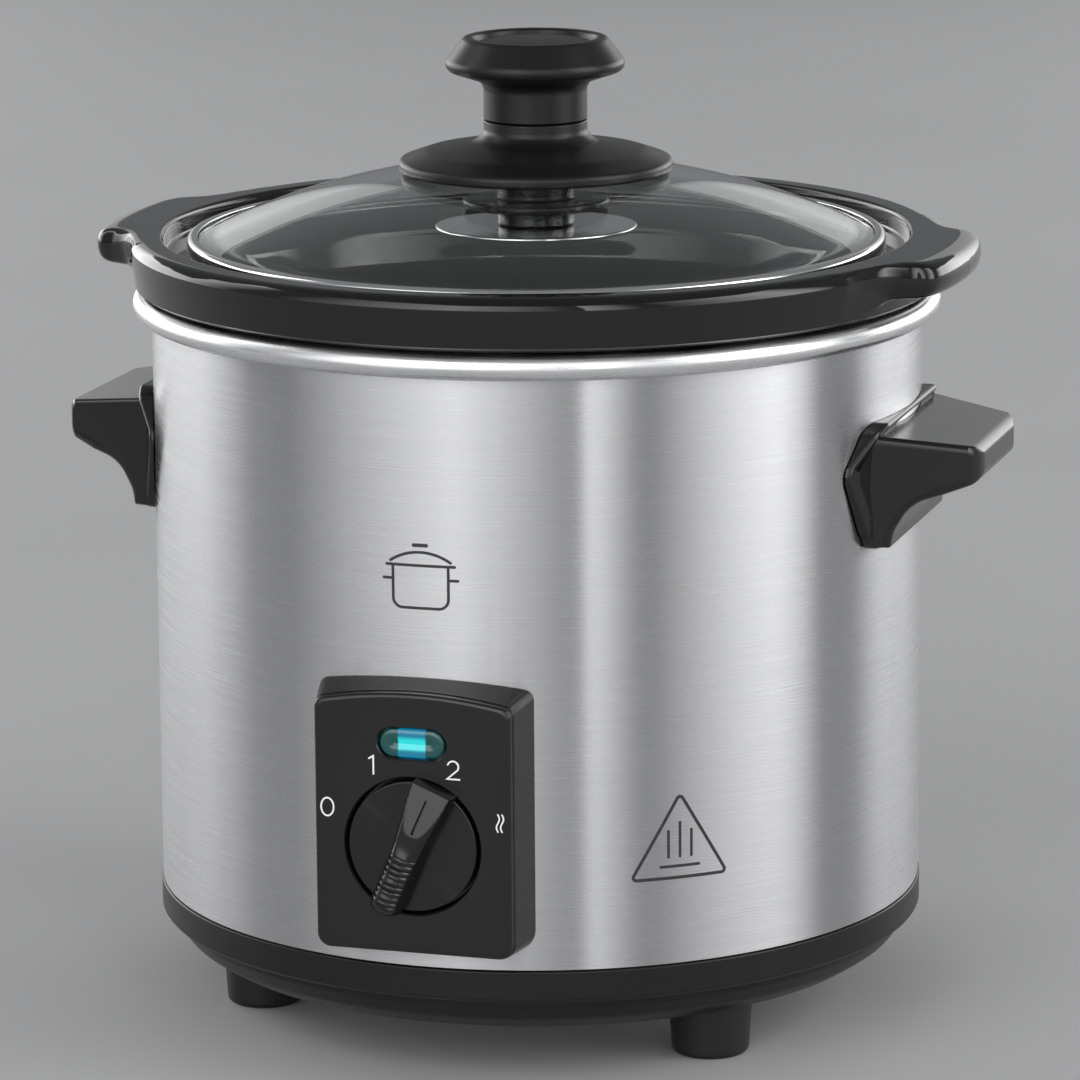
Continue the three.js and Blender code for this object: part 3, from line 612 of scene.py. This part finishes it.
def flange_rings():
    """The plate that hugs the casing: rings from its back, round its edge, to its middle."""
    outline = rounded(FLANGE, True, 9)
    centre = Vector((0, 145))
    inner = CASING_R
    face = 100.6
    lip = 1.3  # the border along the upper edge stands this far above the face
    edge = 0.8
    lip_width = 3.0

    def upper(z):
        return smooth((z - 151) / 5)

    def plate(y):
        """The face's radius: the plate thins towards its two side wings."""
        return face - 1.2 * smooth((abs(y) - 30) / 8)

    def at(point, radius):
        return (math.sqrt(radius**2 - point.x**2), point.x, point.y)

    inwards = inward_normals(outline)
    rings = []
    for share in (0, 0.5, 1):
        rings.append([at(centre + (p - centre) * share, inner) for p in outline])
    for k in range(9):
        t = math.pi / 2 * k / 8
        ring = []
        for p, n in zip(outline, inwards):
            q = p + n * edge * (1 - math.cos(t))
            top = plate(q.x) + lip * upper(p.y)
            ring.append(at(q, top - edge + edge * math.sin(t)))
        rings.append(ring)
    for k in range(7):
        t = k / 6
        ring = []
        for p, n in zip(outline, inwards):
            q = p + n * (edge + (lip_width - edge) * t)
            ring.append(at(q, plate(q.x) + lip * upper(p.y) * (1 - smooth(t))))
        rings.append(ring)
    inset = [p + n * (lip_width + 0.4) for p, n in zip(outline, inwards)]
    for share in (1, 0.75, 0.5, 0.25, 0):
        spots = [centre + (p - centre) * share for p in inset]
        rings.append([at(p, plate(p.x)) for p in spots])
    return rings


def handles():
    for side, turn in (("right", 0), ("left", math.pi)):
        node = f"handle_{side}"
        move = Matrix.Rotation(turn, 4, "Z")
        flange = make(node, flange_rings(), move)
        grip = make("grip", handle_grip(HANDLE_TIP), move, caps=True)
        solid = combine(flange, [grip], "UNION")
        cutters = [turned("cutter", [(0, 100), (CASING_R, 100), (CASING_R, 170), (0, 170)], False)]
        for i in (1, 2):
            middle = middle_of(f"handle_screw_{side}_{i}")
            middle.x = math.copysign(99, middle.x)
            cutters.append(drill("X", 1.8, -9, 9, middle))
        stand_in(combine(solid, cutters), node)


# ---------- controls ----------
def panel_outline(y, half, low, high, crown, corner):
    """An upright rectangle with round corners and an arched top, at depth y."""
    arched = [(half - t * half / 6, high + crown * (1 - (1 - t / 6) ** 2)) for t in range(1, 12)]
    corners = [(half, low, corner), (half, high, corner), *arched,
               (-half, high, corner), (-half, low, corner)]
    return [(p.x, y, p.y) for p in rounded(corners, True, 9)]


def to_casing(front, rear):
    """Each front point moved along the line to its rear point until it meets the casing."""
    met = []
    for a, b in zip(front, rear):
        a, b = Vector(a), Vector(b)
        share = 0.5
        for _ in range(8):
            x = a.x + (b.x - a.x) * share
            share = (-math.sqrt(CASING_R**2 - x * x) - a.y) / (b.y - a.y)
        met.append(a + (b - a) * share)
    return met


def control_panel():
    half, foot, head = 25.3, 37.8, 101
    crown = 2.6
    back = -88
    flare = 3.4  # how much wider the housing is at its back than at its face
    wall = 2.2

    def outline(depth, inset, corner, grow=0.0):
        return panel_outline(depth, half - inset + grow * flare, foot + inset - grow * 0.6,
                             head - inset + grow * 3, crown + grow * 2, corner)

    edge = 1.1
    bends = [math.radians(15 * k) for k in range(7)]
    rings = [outline(PANEL_Y + edge * (1 - math.cos(a)), 1.5 - edge * math.sin(a), 3.4) for a in bends]
    rings.append(outline(PANEL_Y + 1.9, 0.4, 4))
    ledge = [(2.05, 0.3), (2.15, 0.18), (2.3, 0.08), (2.5, 0.03), (2.8, 0)]
    rings += [outline(PANEL_Y + depth, inset, 4.2) for depth, inset in ledge]
    rear = outline(back, 0, 6.5, 1)
    rings.append(to_casing(rings[-1], rear))
    hollow_rear = outline(back, wall, 3.4, 1)
    hollow_front = outline(PANEL_Y + wall, wall + 1, 3)
    rings.append(to_casing(hollow_front, hollow_rear))
    rings.append(hollow_front)
    panel = make("panel", rings, caps=True)

    recess_r = 17.2
    floor = PANEL_Y + 4.8
    dial = Vector((0, 0, DIAL_Z))
    cup = drill("Y", recess_r + 1.6, PANEL_Y + 1, floor + 1.8, dial)
    posts = []
    for node in named("panel_screw"):
        middle = middle_of(node)
        end = -math.sqrt(CASING_R**2 - (abs(middle.x) - 3.3) ** 2)
        posts.append(drill("Y", 3.3, PANEL_Y + 1, end, Vector((middle.x, 0, middle.z))))
    combine(panel, [cup, *posts], "UNION")
    mouth = rounded([(0, floor), (recess_r, floor, 0.5), (recess_r, PANEL_Y + 0.3),
                     (recess_r + 0.35, PANEL_Y - 0.05), (recess_r + 0.35, PANEL_Y - 2), (0, PANEL_Y - 2)])
    recess = turned("cutter", mouth, False, ROUND // 2, Matrix.Translation(dial) @ along("Y"))
    bore = drill("Y", 5.3, floor - 1, floor + 3, dial)
    slot_half, slot_r = LENS_HIGH.x - 1.2 + 0.3, 3.85
    window = []
    for depth, grow in ((4, 0), (0.35, 0), (-0.05, 0.4), (-1, 0.4)):
        edge_line = pill(slot_half + grow, slot_r + grow)
        window.append([(x, PANEL_Y + depth, LENS_Z + z) for x, z in edge_line])
    holes = [recess, bore, make("cutter", window, caps=True)]
    for node in named("panel_screw"):
        middle = middle_of(node)
        holes.append(drill("Y", 1.6, PANEL_Y + 3.4, -90, Vector((middle.x, 0, middle.z))))
    stand_in(combine(panel, holes), "control_panel")


def pill(half, radius, steps=14):
    right = arc((half - radius, 0), radius, -90, 90, steps)
    return right + [(-x, -z) for x, z in right]


def indicator_lens():
    half = 8.2
    radius = 3.5
    face = PANEL_Y + 0.2
    rear = LENS_HIGH.y
    rings = []
    for depth, inset in ((0.35, 3.4), (0.12, 2.4), (0.0, 1.4), (0.05, 0.7), (0.2, 0.25), (0.5, 0.0)):
        rings.append([(x, face + depth, LENS_Z + z) for x, z in pill(half - inset, radius - inset)])
    for depth, grow in ((PANEL_Y + 2.5, 0), (PANEL_Y + 2.5, 1.2), (rear, 1.2)):
        rings.append([(x, depth, LENS_Z + z) for x, z in pill(half + grow, radius + grow)])
    stand_in(make("lens", rings, caps=True), "indicator_lens")


def dial_knob():
    """A flush disc with a grip across it: a flat pointer end and a ribbed round end."""
    radius = 16.2
    disc_back = PANEL_Y + 1.8
    edge = 0.35
    disc = rounded([(0, disc_back), (radius, disc_back, 0.3), (radius, PANEL_Y, edge), (0, PANEL_Y)])
    knob = turned("dial", disc, False, ROUND // 2, along("Y"))
    top, bottom = 16.7, -17.0
    height = PANEL_Y - DIAL_FRONT - 0.05
    ribs = 9
    rib_top, rib_low = -1.2, -14.2
    rings = []
    steps = 170
    across = 40
    for i in range(steps + 1):
        t = top + (bottom - top) * i / steps
        lower = smooth((4 - t) / 8)
        rise = 6.9 + (height - 6.9) * smooth((2 - t) / 9)
        width = 4.3 + 1.05 * smooth((t - 1) / 13)  # widest at the pointer end
        end = min(1, (t - bottom) / 3.2)
        close = math.sqrt(max(0.0, 1 - (1 - end) ** 2)) if end < 1 else 1
        groove = 0.0
        if rib_low < t < rib_top:
            phase = (t - rib_low) / (rib_top - rib_low) * ribs
            groove = 0.5 * (1 - abs(math.sin(math.pi * phase)) ** 0.55)
        flat = 4.9 + (7.9 - 4.9) * (top - t) / (top + 1.5)
        power = 2 / (3.6 - 1.2 * lower)
        ring = []
        for j in range(across + 1):
            angle = math.pi * j / across
            c, s = math.cos(angle), math.sin(angle)
            x = math.copysign(abs(c) ** power, c) * (width - groove * 0.8) * (0.72 + 0.28 * close)
            h = s**power * (rise - groove) * (0.55 + 0.45 * close)
            if t > -1.5:
                h = min(h, flat)
            ring.append((x, PANEL_Y - h, t))
        ring.append((-width * 0.8, disc_back - 0.4, t))
        ring.append((width * 0.8, disc_back - 0.4, t))
        rings.append(ring)
    grip = make("grip", rings, caps=True)
    slit = pill_upright(0.38, 5.2, 14.4)
    groove = [[(x, y, z) for x, z in slit] for y in (PANEL_Y - 9, PANEL_Y - 4.1)]
    sloped = [[(x, y - (14.4 - z) * 0.152, z) for x, y, z in ring] for ring in groove]
    combine(grip, [make("cutter", sloped, caps=True)])
    knob = combine(knob, [grip], "UNION")
    shaft = drill("Y", 3.3, -110.3, disc_back + 1, Vector((0, 0, 0)))
    knob = combine(knob, [shaft])
    turn = Matrix.Translation(Vector((0, AXIS.y * MM, DIAL_Z * MM)))
    turn = turn @ Matrix.Rotation(DIAL_REST, 4, "Y") @ Matrix.Translation(Vector((0, -AXIS.y * MM, 0)))
    knob.data.transform(turn)
    stand_in(knob, "dial_knob")


def pill_upright(radius, low, high):
    return [(x, (low + high) / 2 + z) for z, x in pill((high - low) / 2, radius, 8)]


# ---------- crock ----------
EAR_ROOT = 46.0
RIM_R = 103.5


def ear_outline():
    """The ear's plan from its front root to its back root, by arc length, pointing along +X."""
    reach = CROCK_HIGH.x
    root = math.sqrt(RIM_R**2 - EAR_ROOT**2)
    knots = [(root - 0.9, -EAR_ROOT - 1.9), (root, -EAR_ROOT), (95.4, -39), (99.4, -32),
             (104.6, -28.4), (109.4, -26), (111.6, -19.5), (reach - 0.4, -10), (reach, 0)]
    front = curve(knots, 14)[14:]
    path = front + [Vector((p.x, -p.y)) for p in reversed(front[:-1])]
    return path, lengths_along(path)


def lengths_along(path):
    lengths = [0.0]
    for a, b in zip(path, path[1:]):
        lengths.append(lengths[-1] + (b - a).length)
    return lengths


def point_at(path, lengths, share):
    wanted = share * lengths[-1]
    for a, b, start, end in zip(path, path[1:], lengths, lengths[1:]):
        if wanted <= end:
            return a.lerp(b, (wanted - start) / (end - start))
    return path[-1]


def softened(corners, steps=7):
    """Points along (x, y, reach) corners, each bent from reach before it to reach after it.

    Every corner gets the same number of points, so two outlines can be mixed.
    """
    points = [Vector(corners[0][:2])]
    for before, corner, after in zip(corners, corners[1:], corners[2:]):
        here = Vector(corner[:2])
        back, ahead = Vector(before[:2]) - here, Vector(after[:2]) - here
        start = here + back.normalized() * min(corner[2], 0.49 * back.length)
        end = here + ahead.normalized() * min(corner[2], 0.49 * ahead.length)
        for k in range(steps + 1):
            t = k / steps
            points.append(start * (1 - t) ** 2 + here * 2 * t * (1 - t) + end * t * t)
    return [*points, Vector(corners[-1][:2])]


def rim_section(reach, ear_share):
    """The rim's outer face, from its foot to its top edge: (share of reach, height) points."""
    foot, top = 187.2, CROCK_HIGH.z
    under = top - 9
    plain = [(0, foot, 0), (0.06 * reach, foot + 0.6, 0.3), (0.8 * reach, 195.2, 1), (reach, 197.2, 1.8),
             (reach - 1.9, top, 1.8), (-3.4, top, 0)]
    ear = [(0, foot, 0), (0.15, under, 1.4), (reach - 1.2, under, 3), (reach, under + 5.2, 4.4),
           (reach - 1.8, top, 4), (-3.4, top, 0)]
    mixed = [[a + (b - a) * ear_share for a, b in zip(*pair)] for pair in zip(plain, ear)]
    return softened(mixed)


def crock():
    low, high = CROCK_LOW.z, CROCK_HIGH.z  # underside and top of the rim
    seat = 186
    wall_top = 102.0
    bowl_outside = rounded([
        (0, low + 2), (57, low + 2, 1), (59, low, 0.8), (68, low, 5), (78.6, 67, 14), (83.4, seat, 1.6),
        (100.6, seat, 0.9), (wall_top, 187.2),
    ])
    bowl_inside = rounded([
        (98, high), (95.2, high, 1.1), (94.3, 194.4, 1.2), (85.6, 194.4, 3.5), (78.2, 189, 5),
        (76.4, 180, 12), (72.4, 76, 12), (67, 64, 11), (0, 64),
    ])
    path, lengths = ear_outline()
    root_angle = math.atan2(EAR_ROOT + 1.9, path[0].x)
    columns = []
    for side in (0, math.pi):
        for k in range(220):
            share = k / 220
            columns.append((side - root_angle + 2 * root_angle * share, side, share))
        plain = math.pi - 2 * root_angle
        for k in range(100):
            columns.append((side + root_angle + plain * k / 100, side, None))
    rings = []
    for angle, side, share in columns:
        out = Vector((math.cos(angle), math.sin(angle)))
        if share is None:
            outer = out * RIM_R
        else:
            outer = point_at(path, lengths, share)
            outer.rotate(Matrix.Rotation(side, 2))
        base = out * wall_top
        reach = (outer - base).length
        away = (outer - base).normalized()
        ear = smooth((reach - (RIM_R - wall_top)) / 6)
        ring = [(out.x * r, out.y * r, z) for r, z in bowl_outside]
        for p in rim_section(reach, ear):
            spot = base + away * p.x if p.x > 0 else base + out * p.x
            ring.append((spot.x, spot.y, p.y))
        ring += [(out.x * r, out.y * r, z) for r, z in bowl_inside]
        rings.append(ring)
    stand_in(make("crock", rings, loop=True, wrap=False), "crock")


# ---------- lid ----------
GLASS_SPHERE = 202.0
GLASS_T = 3.2


def dome(r, sphere=GLASS_SPHERE):
    return 217 - GLASS_SPHERE + math.sqrt(sphere**2 - r**2)


def lid_glass_piece():
    hole = 3.2
    inner = GLASS_SPHERE - GLASS_T
    edge_r = GLASS_R
    brim, lower = 84.6, 82.6
    top = [(r, dome(r)) for r in (hole + (brim - hole) * k / 24 for k in range(25))]
    under = [(r, dome(r, inner)) for r in (lower - (lower - hole) * k / 24 for k in range(25))]
    rim = rounded([top[-1], (edge_r, 197.9, 0.9), (edge_r, 195.6, 0.8), (85, 195.6, 0.6), under[0]])
    stand_in(turned("glass", [*top[:-1], *rim, *under[1:]]), "lid_glass")


def rim_band():
    low, high = span("lid_rim_band")
    out = high.x
    lip = 86.0
    clear = GLASS_R + 0.3
    outline = rounded([
        (lip, low.z, 0.2), (out, low.z, 1.1), (out, high.z, 1.3), (lip, high.z - 0.1, 0.3),
        (lip, high.z - 0.75, 0.2), (clear, high.z - 0.8, 0.3), (clear, low.z + 0.6, 0.3),
        (lip, low.z + 0.6, 0.2),
    ], True)
    stand_in(turned("band", outline), "lid_rim_band")


def knob():
    seam = 227.7
    neck = 13.15
    bore = 2.7
    top = span("knob_cap")[1].z
    dish = 246.2
    cap = rounded([
        (bore, seam + 0.15), (neck, seam + 0.15, 0.35), (neck, 237.2, 2.8), (24.2, 240.9, 2.2),
        (18.1, top, 1.8), (15.7, top, 0.9), (14.8, dish, 0.3), (0, dish),
        (0, seam + 10), (bore, seam + 10),
    ], True)
    stand_in(turned("cap", cap, True, ROUND), "knob_cap")
    low = dish + 0.3
    disc = [(0, low), *rounded([(0.1, low), (14.5, low, 0.2), (14.5, low + 0.6, 0.4), (12.9, low + 1)])]
    dish_r = 14.0
    crown = [(r, low + 0.95 + 0.85 * (1 - (r / dish_r) ** 2))
             for r in (12.4, 10.5, 8.5, 6.5, 4.5, 2.2, 0)]
    stand_in(turned("disc", [*disc, *crown], False, ROUND // 2), "knob_disc")
    rim = span("knob_skirt")[1].x
    seat = 219.2
    skirt = rounded([
        (bore, seat), (11.6, seat, 0.4), (11.6, dome(11.6) + 1.2, 0.4), (rim - 2.4, 214.7, 1.2),
        (rim - 0.1, 214.8, 1.0), (rim + 0.05, 217.5, 1.5), (28, 219.9, 14), (15.2, 222.2, 4),
        (neck, 224.6, 2.4), (neck, seam - 0.15, 0.35), (bore, seam - 0.15),
    ], True)
    stand_in(turned("skirt", skirt), "knob_skirt")


def boss():
    low, high = span("lid_boss")
    neck = 9.6
    bore = 2.7
    body = rounded([
        (bore, low.z), (neck, low.z, 0.4), (neck, 204.6, 0.5), (high.x, 204.5, 0.7),
        (high.x, 206.5, 0.7),
        (neck, 206.6, 0.5), (neck, high.z, 0.6), (bore, high.z),
    ], True)
    stand_in(turned("boss", body, True, ROUND // 2), "lid_boss")
    plate_low, plate_high = span("drip_plate")
    rim = plate_high.x
    plate = rounded([
        (bore, plate_low.z, 0.2), (rim, plate_low.z, 0.5), (rim, plate_high.z, 0.5),
        (bore, plate_high.z, 0.2),
    ], True)
    stand_in(turned("plate", plate, True, ROUND), "drip_plate")
    for node in ("knob_gasket", "boss_gasket"):
        ring_low, ring_high = span(node)
        ring = rounded([
            (3.4, ring_low.z, 0.2), (ring_high.x, ring_low.z, 0.3), (ring_high.x, ring_high.z, 0.3),
            (3.4, ring_high.z, 0.2),
        ], True)
        stand_in(turned(node, ring, True, FINE), node)


# ---------- fixings ----------
def screw_heads():
    """Fine screws with a cross recess, where they can be seen from below."""
    for node in ("foot_screw_front_left", "foot_screw_front_right", "foot_screw_rear", "knob_screw"):
        low, high = span(node)
        middle = (low + high) / 2
        head = high.x - middle.x
        deep = 2.2
        shank = 2.4 if node == "knob_screw" else 1.8
        outline = rounded([
            (0, low.z), (head, low.z, 1.1), (head, low.z + deep, 0.2), (shank, low.z + deep, 0.3),
            (shank, high.z - shank), (shank * 0.5, high.z), (0, high.z),
        ])
        screw = turned(node, outline, False, FINE, Matrix.Translation((middle.x, middle.y, 0)))
        reach, arm = head * 0.55, 0.45
        cross = [
            block((middle.x - a, middle.y - b, low.z - 1), (middle.x + a, middle.y + b, low.z + 1.3))
            for a, b in ((reach, arm), (arm, reach))
        ]
        stand_in(combine(screw, cross), node)


def tie_fixing():
    low, high = span("tie_washer")
    washer = rounded([(2.8, low.z, 0.1), (high.x, low.z, 0.25), (high.x, high.z, 0.25),
                      (2.8, high.z, 0.1)], True)
    stand_in(turned("washer", washer, True, FINE), "tie_washer")
    low, high = span("tie_nut")
    flat = 4.0
    rings = []
    for z, shrink in ((low.z, 0.35), (low.z + 0.25, 0), (high.z - 0.25, 0), (high.z, 0.35)):
        corner = (flat - shrink) / math.cos(math.pi / 6)
        rings.append([(corner * math.cos(math.pi / 3 * k), corner * math.sin(math.pi / 3 * k), z)
                      for k in range(6)])
    nut = make("nut", rings, caps=True)
    bore = [(0, low.z - 1), (2.8, low.z - 1), (2.8, high.z + 1), (0, high.z + 1)]
    hole = turned("cutter", bore, False, FINE)
    stand_in(combine(nut, [hole]), "tie_nut")
    low, high = span("tie_stud")
    stud = rounded([(0, low.z), (2.5, low.z, 0.5), (2.5, high.z), (0, high.z)])
    stand_in(turned("stud", stud, False, FINE), "tie_stud")


def cord_gland():
    low, high = span("cord_gland")
    bore, body_r = 3.4, 6.0
    face = CASING_R
    nose = high.y
    outline = rounded([
        (bore, 91.8, 0.3), (body_r, 91.8, 0.3), (body_r, face), (8.5, face, 0.2), (8.5, face + 2, 0.8),
        (6.1, face + 3.2, 1.6), (5, nose, 0.7), (bore, nose, 0.4),
    ], True)
    middle = Vector((0, 0, (low.z + high.z) / 2))
    stand_in(turned("gland", outline, True, FINE, Matrix.Translation(middle) @ along("Y")), "cord_gland")


# ---------- printed marks ----------
INK = 0.04  # how far a print stands above its surface


def stroke(shape, points, width, place, closed=False):
    """Adds a flat round-ended line of ink along points in a plane that place() lays on a surface."""
    points = [Vector(p) for p in points]
    widths = [width / 2] * len(points)
    if not closed:
        steps = 5
        first, last = (points[0] - points[1]).normalized(), (points[-1] - points[-2]).normalized()
        turns = [math.pi / 2 * k / steps for k in range(1, steps + 1)]
        caps = [(math.sin(a), math.cos(a)) for a in turns]
        head = [(points[0] + first * s * width / 2, max(c, 0.02) * width / 2) for s, c in reversed(caps)]
        tail = [(points[-1] + last * s * width / 2, max(c, 0.02) * width / 2) for s, c in caps]
        widths = [w for _, w in head] + widths + [w for _, w in tail]
        points = [p for p, _ in head] + points + [p for p, _ in tail]
    rings = []
    count = len(points)
    for i, (point, half) in enumerate(zip(points, widths)):
        before = points[i - 1] if closed or i else point
        after = points[(i + 1) % count] if closed or i < count - 1 else point
        turn_in = (point - before).normalized() if point != before else (after - point).normalized()
        turn_out = (after - point).normalized() if after != point else turn_in
        middle = (turn_in + turn_out).normalized()
        spread = half / max(0.4, middle.dot(turn_out))
        normal = Vector((-middle.y, middle.x)) * spread
        left, right = point + normal, point - normal
        rings.append([place(*left, INK), place(*right, INK), place(*right, -INK), place(*left, -INK)])
    skin(shape, rings, loop=closed, caps=not closed)


def oval(x, z, half_wide, half_high, steps=40):
    turns = [2 * math.pi * k / steps for k in range(steps)]
    return [(x + half_wide * math.cos(a), z + half_high * math.sin(a)) for a in turns]


def printed(name, strokes, place, colour):
    """A piece of ink made of (points, width, closed) strokes."""
    shape = bmesh.new()
    for points, width, closed in strokes:
        stroke(shape, points, width, place, closed)
    # The lighter copy of the ink's colour is a painted highlight along its edges.
    look = moulded(name + "_ink", colour, tuple(min(1, c * 1.15) for c in colour), 0.4, 0.002)
    piece = finish_mesh(mesh_of(name, shape), look.material)
    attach(piece, "base")


def panel_print():
    """The dial's scale: 0, 1, 2 and two wavy lines for keep warm."""
    def on_panel(x, z, lift):
        return (x, PANEL_Y - lift, z)

    line = 0.42
    tall = 4.9
    zero = (oval(-21.6, 73.7, 1.6, tall / 2 - line / 2), line, True)
    base = 85.0 - tall / 2
    one = (curve([(-10.8, base + tall - 0.9), (-9.7, base + tall - line / 2)], 1)
           + [Vector((-9.7, base + line / 2))], line, False)
    hook = arc((10.5, base + tall - 1.6), 1.38, 160, -35, 16)
    two = ([*hook, (9, base + line / 2), (12.1, base + line / 2)], line, False)
    waves = []
    for x in (21.7, 22.75):
        sway = [(x + 0.38 * math.sin(math.pi * (k / 12) * 2), 72.6 + (0.5 - k / 12) * 4.3)
                for k in range(13)]
        waves.append((sway, 0.36, False))
    printed("panel_print", [zero, one, two, *waves], on_panel, (0.82, 0.82, 0.84))


def casing_print():
    """Two plain marks on the casing: a pot, and a triangle with three strokes over a bar."""
    def on_casing(x, z, lift):
        angle = x / SHELL_R
        radius = SHELL_R + lift
        return (radius * math.sin(angle), -radius * math.cos(angle), z)

    def flat(points, closed=False, line=0.7):
        """A line cut into short steps, which follow the casing's curve."""
        points = [Vector(p) for p in points]
        path = []
        for a, b in zip(points, points[1:] + points[:1] if closed else points[1:]):
            steps = math.ceil((b - a).length / 1.5)
            path += [a.lerp(b, k / steps) for k in range(steps)]
        return (path if closed else [*path, points[-1]], line, closed)

    cx = SHELL_R * math.radians(37.2)
    corners = rounded([(cx - 12.6, 54.3, 0.8), (cx + 12.6, 54.3, 0.8), (cx, 75.4, 0.8)], True, 15)
    mark = [flat(corners, True, 0.8)]
    for dx, tall in ((-3, 6.5), (0, 8.5), (3, 6.5)):
        mark.append(flat([(cx + dx, 59.6), (cx + dx, 59.6 + tall)]))
    mark.append(flat([(cx - 5, 57.2), (cx + 5, 57.2)]))
    px, pz = 0.0, 130.0
    pot = rounded([(px - 7, pz + 3), (px - 7, pz - 7.5, 2.4), (px + 7, pz - 7.5, 2.4), (px + 7, pz + 3)])
    lid = arc((px, pz - 7.3), 13.6, 56, 124, 14)
    mark += [flat(pot), flat([(px - 8.6, pz + 3), (px + 8.6, pz + 3)]), flat(lid)]
    mark.append(flat([(px - 1.6, pz + 8), (px + 1.6, pz + 8)], line=0.9))
    for side in (-1, 1):
        mark.append(flat([(px + side * 7, pz - 0.4), (px + side * 9.4, pz - 0.4)]))
    printed("casing_print", mark, on_casing, (0.02, 0.02, 0.022))


# ---------- studio ----------
VIEW_AZIMUTH = math.radians(16.9)
VIEW_HEIGHT = math.radians(12.47)


def camera():
    roll = math.radians(0.4)
    distance = 1465 * MM
    right = Vector((math.cos(VIEW_AZIMUTH), math.sin(VIEW_AZIMUTH), 0))
    flat = Vector((math.sin(VIEW_AZIMUTH), -math.cos(VIEW_AZIMUTH), 0))
    back = flat * math.cos(VIEW_HEIGHT) + Vector((0, 0, math.sin(VIEW_HEIGHT)))
    up = back.cross(right)
    target = AXIS * MM + right * 0.4 * MM + Vector((0, 0, 118.4 * MM))
    tilted = right * math.cos(roll) - up * math.sin(roll)
    upright = up * math.cos(roll) + right * math.sin(roll)
    data = bpy.data.cameras.new("camera")
    data.sensor_width = 36
    data.lens = 189.8
    data.clip_start = 0.05
    seen = bpy.data.objects.new("camera", data)
    seen.matrix_world = Matrix.Translation(target + back * distance) @ Matrix(
        (tilted, upright, back)).transposed().to_4x4()
    bpy.context.scene.collection.objects.link(seen)
    bpy.context.scene.camera = seen


def floor():
    half = 5.0
    shape = bmesh.new()
    shape.faces.new([shape.verts.new((x, y, 0)) for x, y in
                     ((-half, -half), (half, -half), (half, half), (-half, half))])
    mesh = bpy.data.meshes.new("floor")
    shape.to_mesh(mesh)
    shape.free()
    plane = bpy.data.objects.new("floor", mesh)
    bpy.context.scene.collection.objects.link(plane)
    look = Finish("floor", (0.46, 0.46, 0.465), 0.7)
    cloud = look.noise((3, 3, 3), 2)
    look.tint(look.between(cloud, 0, 1), (0.45, 0.45, 0.455), (0.47, 0.47, 0.475))
    plane.data.materials.append(look.material)


# A ring of upright softboxes round the object: pairs of an azimuth, in degrees to the right of the
# camera, and the strength there. Each stretch between two pairs is a box with an even gradient.
RING = (
    (-173, 0.3), (-162, 0.7), (-150, 3.2), (-115, 3.2), (-92, 0.1), (-76, 0.06), (-24, 2.8), (8, 0.3),
    (12.8, 0.1),
    (13, 3.4), (29, 0.1), (34, 0.1), (74, 3.9), (83, 2.6), (90, 0.05), (105, 0.1), (119, 3.2),
    (138, 3.4), (154, 1.4), (162, 0.6), (173, 0.3),
)


def softbox(name, left, right):
    distance, low = 2.6, 0.03
    high = 1.1 if min(abs(left[0]), abs(right[0])) > 100 else 2.9  # low behind the object
    ends = [VIEW_AZIMUTH + math.radians(a) for a, _ in (left, right)]
    corners = [Vector((math.sin(a), -math.cos(a), 0)) * distance for a in ends]
    data = bpy.data.lights.new(name, "AREA")
    data.shape = "RECTANGLE"
    data.size = (corners[1] - corners[0]).length
    data.size_y = high - low
    data.energy = data.size * data.size_y * math.pi
    data.use_nodes = True
    tree = data.node_tree
    place = tree.nodes.new("ShaderNodeNewGeometry")
    split = tree.nodes.new("ShaderNodeSeparateXYZ")
    ramp = tree.nodes.new("ShaderNodeMapRange")
    tree.links.new(place.outputs["Parametric"], split.inputs[0])
    tree.links.new(split.outputs["X"], ramp.inputs["Value"])
    ramp.inputs["To Min"].default_value = left[1]
    ramp.inputs["To Max"].default_value = right[1]
    tree.links.new(ramp.outputs[0], tree.nodes["Emission"].inputs["Strength"])
    lamp = bpy.data.objects.new(name, data)
    middle = (corners[0] + corners[1]) / 2
    # A light shines along its -Z, so its Z axis points away from the object.
    away = middle.normalized()
    up = Vector((0, 0, 1))
    turn = Matrix((up.cross(away), up, away)).transposed().to_4x4()
    lamp.matrix_world = Matrix.Translation(middle + up * (low + high) / 2) @ turn
    lamp.visible_camera = False
    bpy.context.scene.collection.objects.link(lamp)


def lights():
    for i, (left, right) in enumerate(zip(RING, RING[1:])):
        softbox(f"softbox_{i}", left, right)
    world = bpy.data.worlds.new("world")
    world.use_nodes = True
    world.node_tree.nodes["Background"].inputs["Color"].default_value = (0.96, 0.98, 1.0, 1)
    world.node_tree.nodes["Background"].inputs["Strength"].default_value = 0.22
    bpy.context.scene.world = world
    bpy.context.scene.view_settings.view_transform = "Standard"


camera()
floor()
lights()
outer_shell()
heating_well()
base_ring()
feet()
handles()
control_panel()
indicator_lens()
dial_knob()
crock()
lid_glass_piece()
rim_band()
knob()
boss()
screw_heads()
tie_fixing()
cord_gland()
panel_print()
casing_print()
